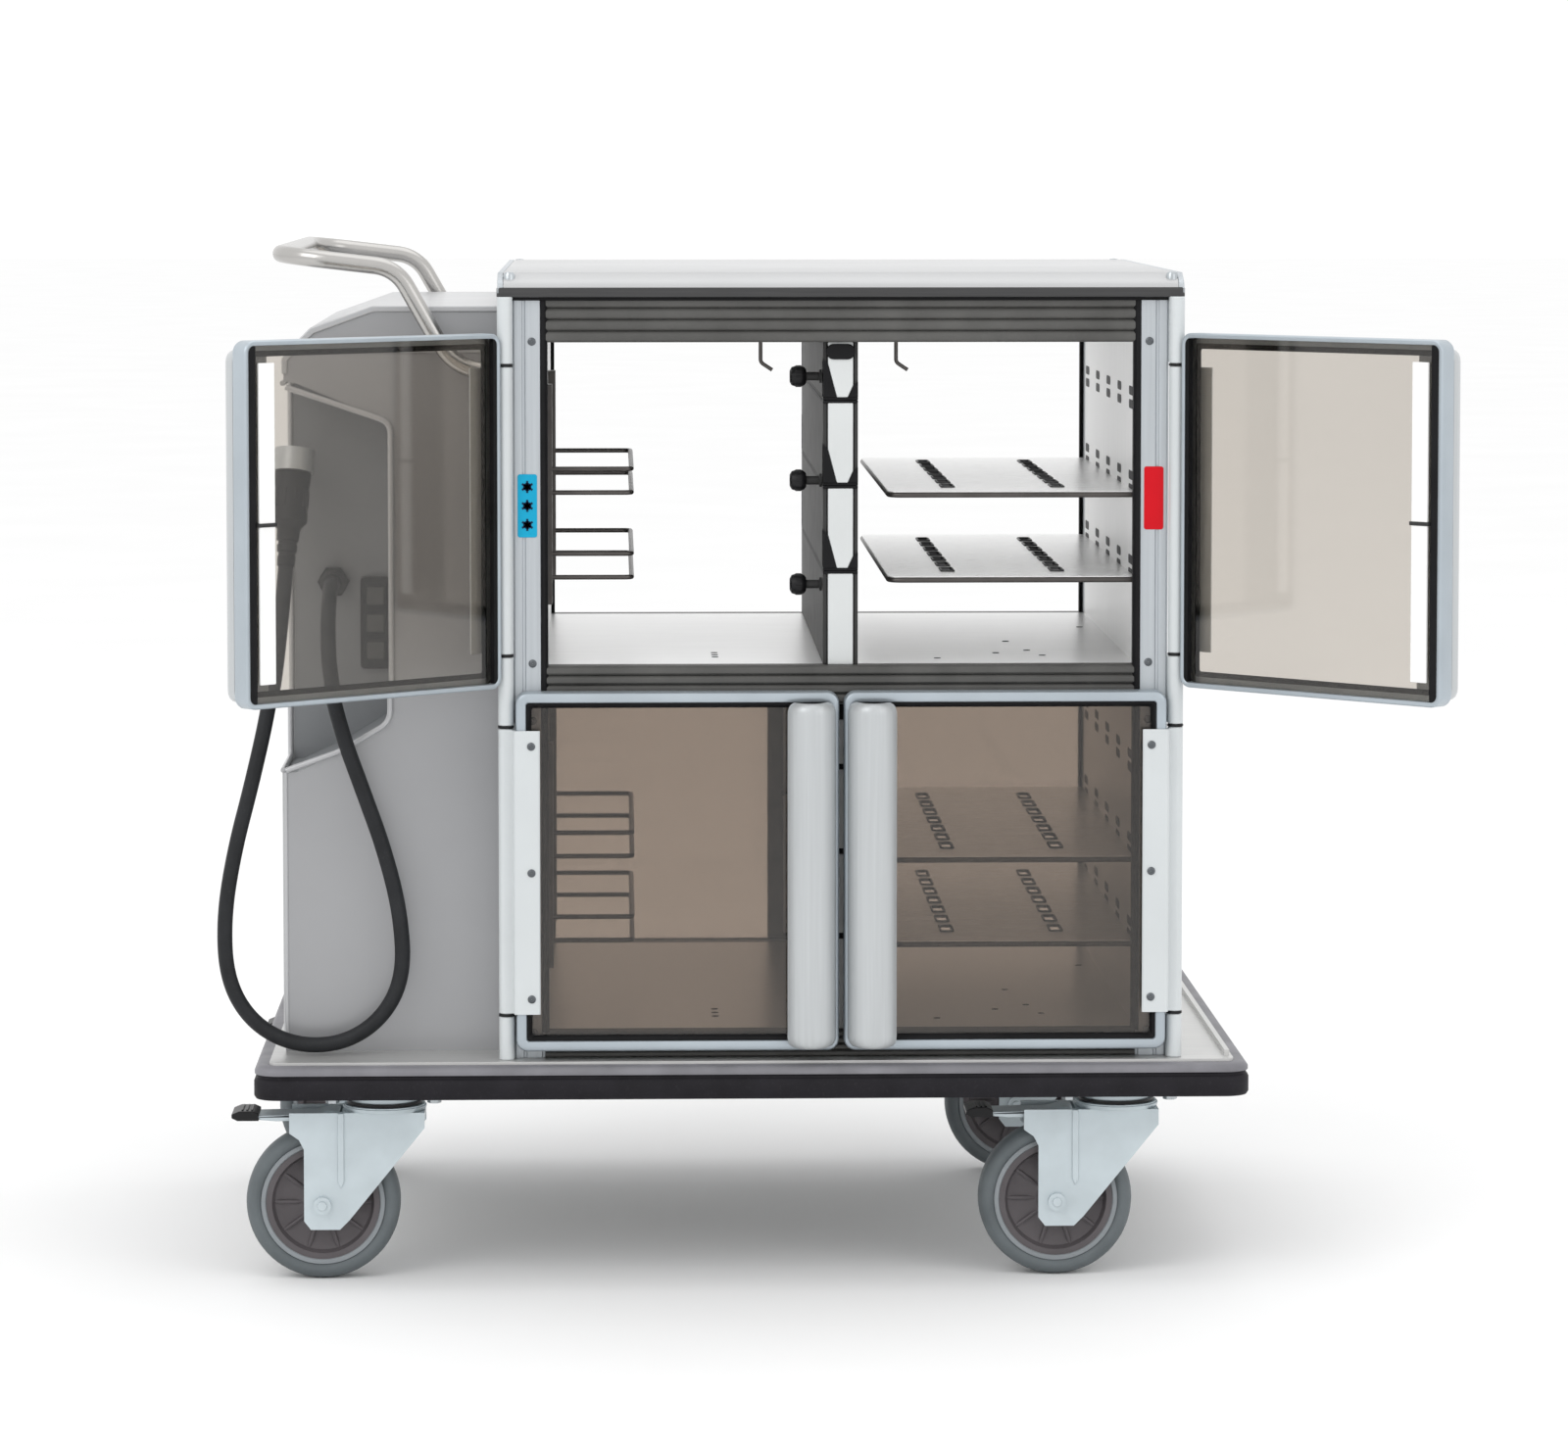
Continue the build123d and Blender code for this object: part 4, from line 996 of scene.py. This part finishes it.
def build_casing_cap():
    """The folded cap over the casing's top, lighter than the casing as painted light on its top, and
    a light line below it that is a painted highlight.
    """
    cap = bmesh.new()
    wall = CAB_X - CAB_HALF_X
    outline = ((wall, CASING_TOP - 0.020), (wall, CASING_TOP + 0.002),
               (CASING_LEFT + 0.093, CASING_TOP + 0.002), (CASING_LEFT + 0.029, 0.9875),
               (CASING_LEFT - 0.002, 0.9565), (CASING_LEFT - 0.002, 0.940),
               (CASING_LEFT + 0.004, 0.940), (CASING_LEFT + 0.004, 0.9535),
               (CASING_LEFT + 0.033, 0.9815), (CASING_LEFT + 0.095, CASING_TOP - 0.004),
               (wall - 0.004, CASING_TOP - 0.004), (wall - 0.004, CASING_TOP - 0.020))
    add_prism(cap, outline, "y", -CASING_Y - 0.002, CASING_Y + 0.002)
    piece("casing_top_cap", cap, "casing_highlight_grey", bevel=0.0015, segments=3)

    # Light line on the front and rear sheets: a painted highlight.
    light_effect_strip = bmesh.new()
    for y in (-CASING_Y - 0.0012, CASING_Y + 0.0012):
        add_box(light_effect_strip, CASING_LEFT + 0.034, wall, y - 0.0012, y + 0.0012,
                CASING_TOP - 0.046, CASING_TOP - 0.040)
    piece("casing_highlight_line", light_effect_strip, "casing_highlight_grey", bevel=0.0008)


def build_casing_screws():
    """Screw heads on the casing's rear and left sheets."""
    screws = bmesh.new()
    for x in (-0.462, -0.262):
        for z in (0.262, 0.500, 0.960):
            if x < -0.4 and z > 0.9:
                continue
            add_screw(screws, (x, CASING_Y, z), (0, 1, 0), 0.004, 0.0016)
    for y in (-0.255, 0.0, 0.255):
        for z in (0.262, 0.500):
            add_screw(screws, (CASING_LEFT, y, z), (-1, 0, 0), 0.004, 0.0016)
    for y in (0.0, 0.255):
        add_screw(screws, (CASING_LEFT, y, 0.930), (-1, 0, 0), 0.004, 0.0016)
    piece("casing_screws", screws, "screw", bevel=0.0)


def build_casing_fittings():
    """Louvres in the rear sheet, and the rocker faces of the inlet plate."""
    louvres = bmesh.new()
    for step in range(9):
        z = 0.330 + step * 0.016
        outline = ((CASING_Y - 0.001, z - 0.001), (CASING_Y + 0.0045, z + 0.001),
                   (CASING_Y + 0.0045, z + 0.0022), (CASING_Y - 0.001, z + 0.0075))
        add_prism(louvres, outline, "x", -0.421, -0.309)
    piece("casing_louvres", louvres, "casing_grey", bevel=0.0005)

    rockers = bmesh.new()
    for z in (0.700, 0.671, 0.642):
        outline = ((NICHE_BACK - 0.009, z - 0.009), (NICHE_BACK - 0.0125, z - 0.009),
                   (NICHE_BACK - 0.0105, z), (NICHE_BACK - 0.0115, z + 0.009),
                   (NICHE_BACK - 0.009, z + 0.009))
        add_prism(rockers, outline, "x", -0.405, -0.387)
    piece("inlet_rockers", rockers, "dark_plastic", bevel=0.0006)


# --- Platform, handle and casters --------------------------------------------

def build_platform():
    """Chassis, deck, and the grooved bumper with its lighter ledge."""
    finish_node("chassis_frame", "chassis")
    finish_node("deck_plate", "stainless", 0.001)
    low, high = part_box("bumper")
    half_x = (high[0] - low[0]) / 2
    half_y = (high[1] - low[1]) / 2
    z0, z1 = low[2], high[2]
    bumper = bmesh.new()
    profile = [(0.002, z0), (0.0, z0 + 0.003), (0.0, z0 + 0.018), (0.0012, z0 + 0.0205),
               (0.0030, z0 + 0.0215), (0.0030, z0 + 0.0235), (0.0014, z0 + 0.0250),
               (0.0014, z1 - 0.004), (0.0035, z1 - 0.001), (0.0060, z1), (0.016, z1),
               (0.016, z0)]
    add_band(bumper, profile, 2 * half_x, 2 * half_y, BUMPER_CORNER)
    piece("bumper_profile", bumper, "rubber",
          stands_for=["bumper"], bevel=0.0)
    ledge = bmesh.new()
    add_band(ledge, [(0.0011, z1 - 0.0078), (0.0007, z1 - 0.0070), (0.0007, z1 - 0.0038),
                     (0.0030, z1 - 0.0006), (0.0058, z1 + 0.0006), (0.0158, z1 + 0.0012),
                     (0.0162, z1 - 0.0003), (0.0060, z1 - 0.0050)],
             2 * half_x, 2 * half_y, BUMPER_CORNER)
    piece("bumper_ledge", ledge, "bumper_top", bevel=0.0)


def build_handle():
    """Bent tube handle and the screws of its flanges."""
    finish_node("push_handle", "handle_steel")
    screws = bmesh.new()
    wall = CAB_X - CAB_HALF_X
    for face in FACES.values():
        for step in range(3):
            angle = pi / 2 + step * 2 * pi / 3
            place = (wall - 0.005, face * HANDLE_Y + FLANGE_SCREW_R * cos(angle),
                     HANDLE_Z + FLANGE_SCREW_R * sin(angle))
            add_screw(screws, place, (-1, 0, 0), 0.0028, 0.0014)
    piece("handle_flange_screws", screws, "screw", bevel=0.0)


def build_wheel(name, x, y):
    """Tyre, its lighter ring and the ribbed hub."""
    body = f"roller_{name}"
    centre = (x - TRAIL, y, WHEEL_R)
    axis = (0, 1, 0)
    tyre = bmesh.new()
    half = 0.020
    profile = [(0.0660, -half + 0.0015), (0.0700, -half), (0.0735, -half + 0.001),
               (0.0770, -half + 0.004), (0.0793, -half + 0.009), (0.0800, -half + 0.015),
               (0.0800, half - 0.015), (0.0793, half - 0.009), (0.0770, half - 0.004),
               (0.0735, half - 0.001), (0.0700, half), (0.0660, half - 0.0015),
               (0.0640, half - 0.004), (0.0640, -half + 0.004)]
    add_lathe(tyre, profile, centre, axis, 96)
    piece(f"{name}_tyre", tyre, "tyre", body,
          [f"wheel_{name}"], 0.0)
    ring = bmesh.new()
    add_lathe(ring, [(0.0645, -half + 0.003), (0.0640, -half + 0.0018), (0.0600, -half + 0.0018),
                     (0.0585, -half + 0.004), (0.0585, half - 0.004), (0.0600, half - 0.0018),
                     (0.0640, half - 0.0018), (0.0645, half - 0.003)], centre, axis, 96)
    piece(f"{name}_tyre_ring", ring, "tyre_ring", body, (), 0.0003)
    hub = bmesh.new()
    rims = [(0.0056, -0.025), (0.0110, -0.025), (0.0165, -0.0245), (0.0180, -0.021),
            (0.0200, -0.012), (0.0300, -0.0085), (0.0440, -0.0085), (0.0500, -0.0110),
            (0.0530, -0.0170), (0.0590, -0.0170)]
    profile = rims + [(r, -a) for r, a in reversed(rims)]
    add_lathe(hub, profile, centre, axis, 72)
    for side in (-1, 1):
        for step in range(10):
            angle = 2 * pi * step / 10
            inner = Vector((0.018 * cos(angle), 0, 0.018 * sin(angle)))
            outer = Vector((0.052 * cos(angle), 0, 0.052 * sin(angle)))
            lift = Vector((0, side * 0.0095, 0))
            add_rod(hub, Vector(centre) + inner + lift, Vector(centre) + outer + lift,
                    0.0022, 8)
    piece(f"{name}_hub", hub, "hub", body, (), 0.0)


def build_fork(name, x, y):
    """Axle nuts and stiffening ribs on the pressed fork."""
    finish_node(f"fork_{name}", "zinc", 0.0012)
    wheel_x = x - TRAIL
    details = bmesh.new()
    for side in (-1, 1):
        outer = y + side * FORK_HALF
        nut_y = outer + side * 0.0055
        add_prism(details, hexagon(wheel_x, WHEEL_R, 0.0088, 0.3), "y", outer, nut_y)
        add_rod(details, (wheel_x, nut_y, WHEEL_R), (wheel_x, nut_y + side * 0.003, WHEEL_R),
                0.0048, 20)
        rib = [(wheel_x + 0.016, 0.176), (wheel_x + 0.0225, 0.176), (wheel_x + 0.0225, 0.104),
               (wheel_x + 0.0192, 0.097), (wheel_x + 0.016, 0.104)]
        add_prism(details, rib, "y", outer, outer + side * 0.0022)
    piece(f"{name}_axle_nuts", details, "zinc", f"swivel_{name}", (), 0.0008)


def build_swivel_head(name, x, y):
    """Bearing cup, dust seal and the top plate's bolts."""
    head = bmesh.new()
    add_lathe(head, [(0.0300, 0.0), (0.0425, 0.0), (0.0435, 0.002), (0.0435, 0.0042),
                     (0.0300, 0.0042)], (x, y, 0.1765), (0, 0, 1), 48)
    piece(f"{name}_bearing_cup", head, "zinc", f"swivel_{name}", (), 0.0006)
    dust = bmesh.new()
    add_lathe(dust, [(0.0300, 0.0), (0.0392, 0.0), (0.0392, 0.0034), (0.0300, 0.0034)],
              (x, y, 0.1825), (0, 0, 1), 48)
    piece(f"{name}_bearing_seal", dust, "black_plastic", bevel=0.0004)
    bolts = bmesh.new()
    for sx in (-1, 1):
        for sy in (-1, 1):
            add_prism(bolts, hexagon(x + sx * 0.0525, y + sy * 0.040, 0.0075), "z",
                      0.1885, 0.194)
    piece(f"{name}_plate_bolts", bolts, "screw", bevel=0.0006)


def build_pedal(name, x, y):
    """Pressed brake pedal with side flanges and a ribbed, moulded toe."""
    pedal = bmesh.new()
    pivot = x - PEDAL_PIVOT
    z = PEDAL_Z
    plate = [(0.006, 0.0045), (-0.004, 0.0058), (-0.020, 0.0022), (-0.080, 0.0012),
             (-0.086, 0.0030), (-0.086, 0.0), (-0.080, -0.0018), (-0.022, -0.0016),
             (-0.006, -0.0050), (0.004, -0.0048)]
    outline = [(pivot + a, z + b) for a, b in plate]
    add_prism(pedal, outline, "y", y - 0.0195, y + 0.0195)
    for side in (-1, 1):
        edge = y + side * 0.0195
        flange = [(pivot - 0.012, z + 0.003), (pivot - 0.078, z + 0.0005),
                  (pivot - 0.078, z - 0.0035), (pivot - 0.060, z - 0.0050),
                  (pivot - 0.030, z - 0.0045), (pivot - 0.012, z - 0.003)]
        add_prism(pedal, flange, "y", edge, edge - side * 0.002)
    piece(f"{name}_pedal_plate", pedal, "zinc", f"pedal_{name}",
          [f"brake_pedal_{name}"], 0.0008)
    toe = bmesh.new()
    tip = [(-0.078, -0.0040), (-0.100, -0.0040), (-0.106, -0.0010), (-0.106, 0.0030),
           (-0.098, 0.0062), (-0.084, 0.0062), (-0.078, 0.0035)]
    add_prism(toe, [(pivot + a, z + b) for a, b in tip], "y", y - 0.023, y + 0.023)
    for step in range(3):
        place = pivot - 0.086 - step * 0.005
        add_box(toe, place, place + 0.0022, y - 0.018, y + 0.018, z + 0.006, z + 0.0072)
    piece(f"{name}_pedal_toe", toe, "black_plastic", f"pedal_{name}", (), 0.0012)


def build_all():
    """Every piece, then the nodes that keep their own shape."""
    build_cable()
    for face in FACES:
        for tier in DOOR_Z:
            for side in SIDES:
                build_door(face, tier, side)
    build_posts()
    build_rails()
    build_roof()
    build_hinge_columns()
    build_labels()
    build_divider()
    build_knobs()
    build_shelf_details()
    build_hole_shade()
    build_casing()
    build_casing_cap()
    build_casing_screws()
    build_casing_fittings()
    build_platform()
    build_handle()
    for face_name, face in FACES.items():
        for side_name, side in SIDES.items():
            for build in (build_wheel, build_fork, build_swivel_head, build_pedal):
                build(f"{face_name}_{side_name}", side * CASTER_X, face * CASTER_Y)
    for node, mat, bevel in (("side_walls", "wall_steel", 0.0), ("liner_panels", "liner_steel", 0.0),
                             ("shelves", "shelf_steel", 0.0), ("wire_brackets", "wire_steel", 0.0),
                             ("caster_plates", "zinc", 0.0008),
                             ("compressor", "black_plastic", 0.0), ("condenser", "screw", 0.0),
                             ("fan_rotor", "black_plastic", 0.0),
                             ("heater_module", "stainless", 0.0)):
        finish_node(node, mat, bevel)


# --- Floor, light and camera -------------------------------------------------

def build_studio():
    """A pale floor, an even white world and three soft lamps."""
    floor = bmesh.new()
    add_box(floor, -90, 90, -90, 90, -0.02, 0.0)
    mesh = bpy.data.meshes.new("studio_floor")
    floor.to_mesh(mesh)
    floor.free()
    ground = bpy.data.objects.new("studio_floor", mesh)
    scene.collection.objects.link(ground)
    mesh.materials.append(MATS["floor"])

    world = bpy.data.worlds.new("studio")
    world.use_nodes = True
    world.node_tree.nodes["Background"].inputs["Color"].default_value = (1, 1, 1, 1)
    world.node_tree.nodes["Background"].inputs["Strength"].default_value = 1.1
    scene.world = world

    for name, place, size, power in (("key", (-2.6, -3.2, 3.4), 2.6, 42),
                                     ("fill", (3.0, -3.4, 2.2), 2.6, 16),
                                     ("top", (0.2, 0.2, 4.2), 3.0, 20)):
        lamp = bpy.data.lights.new(name, "AREA")
        lamp.energy = power
        lamp.size = size
        holder = bpy.data.objects.new(name, lamp)
        holder.location = place
        aim = Vector((0, 0, 0.6)) - holder.location
        holder.rotation_euler = aim.to_track_quat("-Z", "Y").to_euler()
        scene.collection.objects.link(holder)


CAMERA_X = -0.143
CAMERA_Y = -6.168
CAMERA_Z = 1.174
CAMERA_YAW = 1.73
CAMERA_PITCH = 4.0
CAMERA_LENS = 130.5
CAMERA_SHIFT_Y = -0.1144


def build_camera():
    """A long lens, a little to the left of the cabinet and slightly above it."""
    data = bpy.data.cameras.new("camera")
    data.lens = CAMERA_LENS
    data.sensor_width = 36.0
    data.shift_y = CAMERA_SHIFT_Y
    data.clip_end = 60
    camera = bpy.data.objects.new("camera", data)
    camera.location = Vector((CAMERA_X, CAMERA_Y, CAMERA_Z)) + HOME
    camera.rotation_euler = (radians(90 - CAMERA_PITCH), 0, radians(-CAMERA_YAW))
    scene.collection.objects.link(camera)
    scene.camera = camera


build_all()
build_studio()
build_camera()
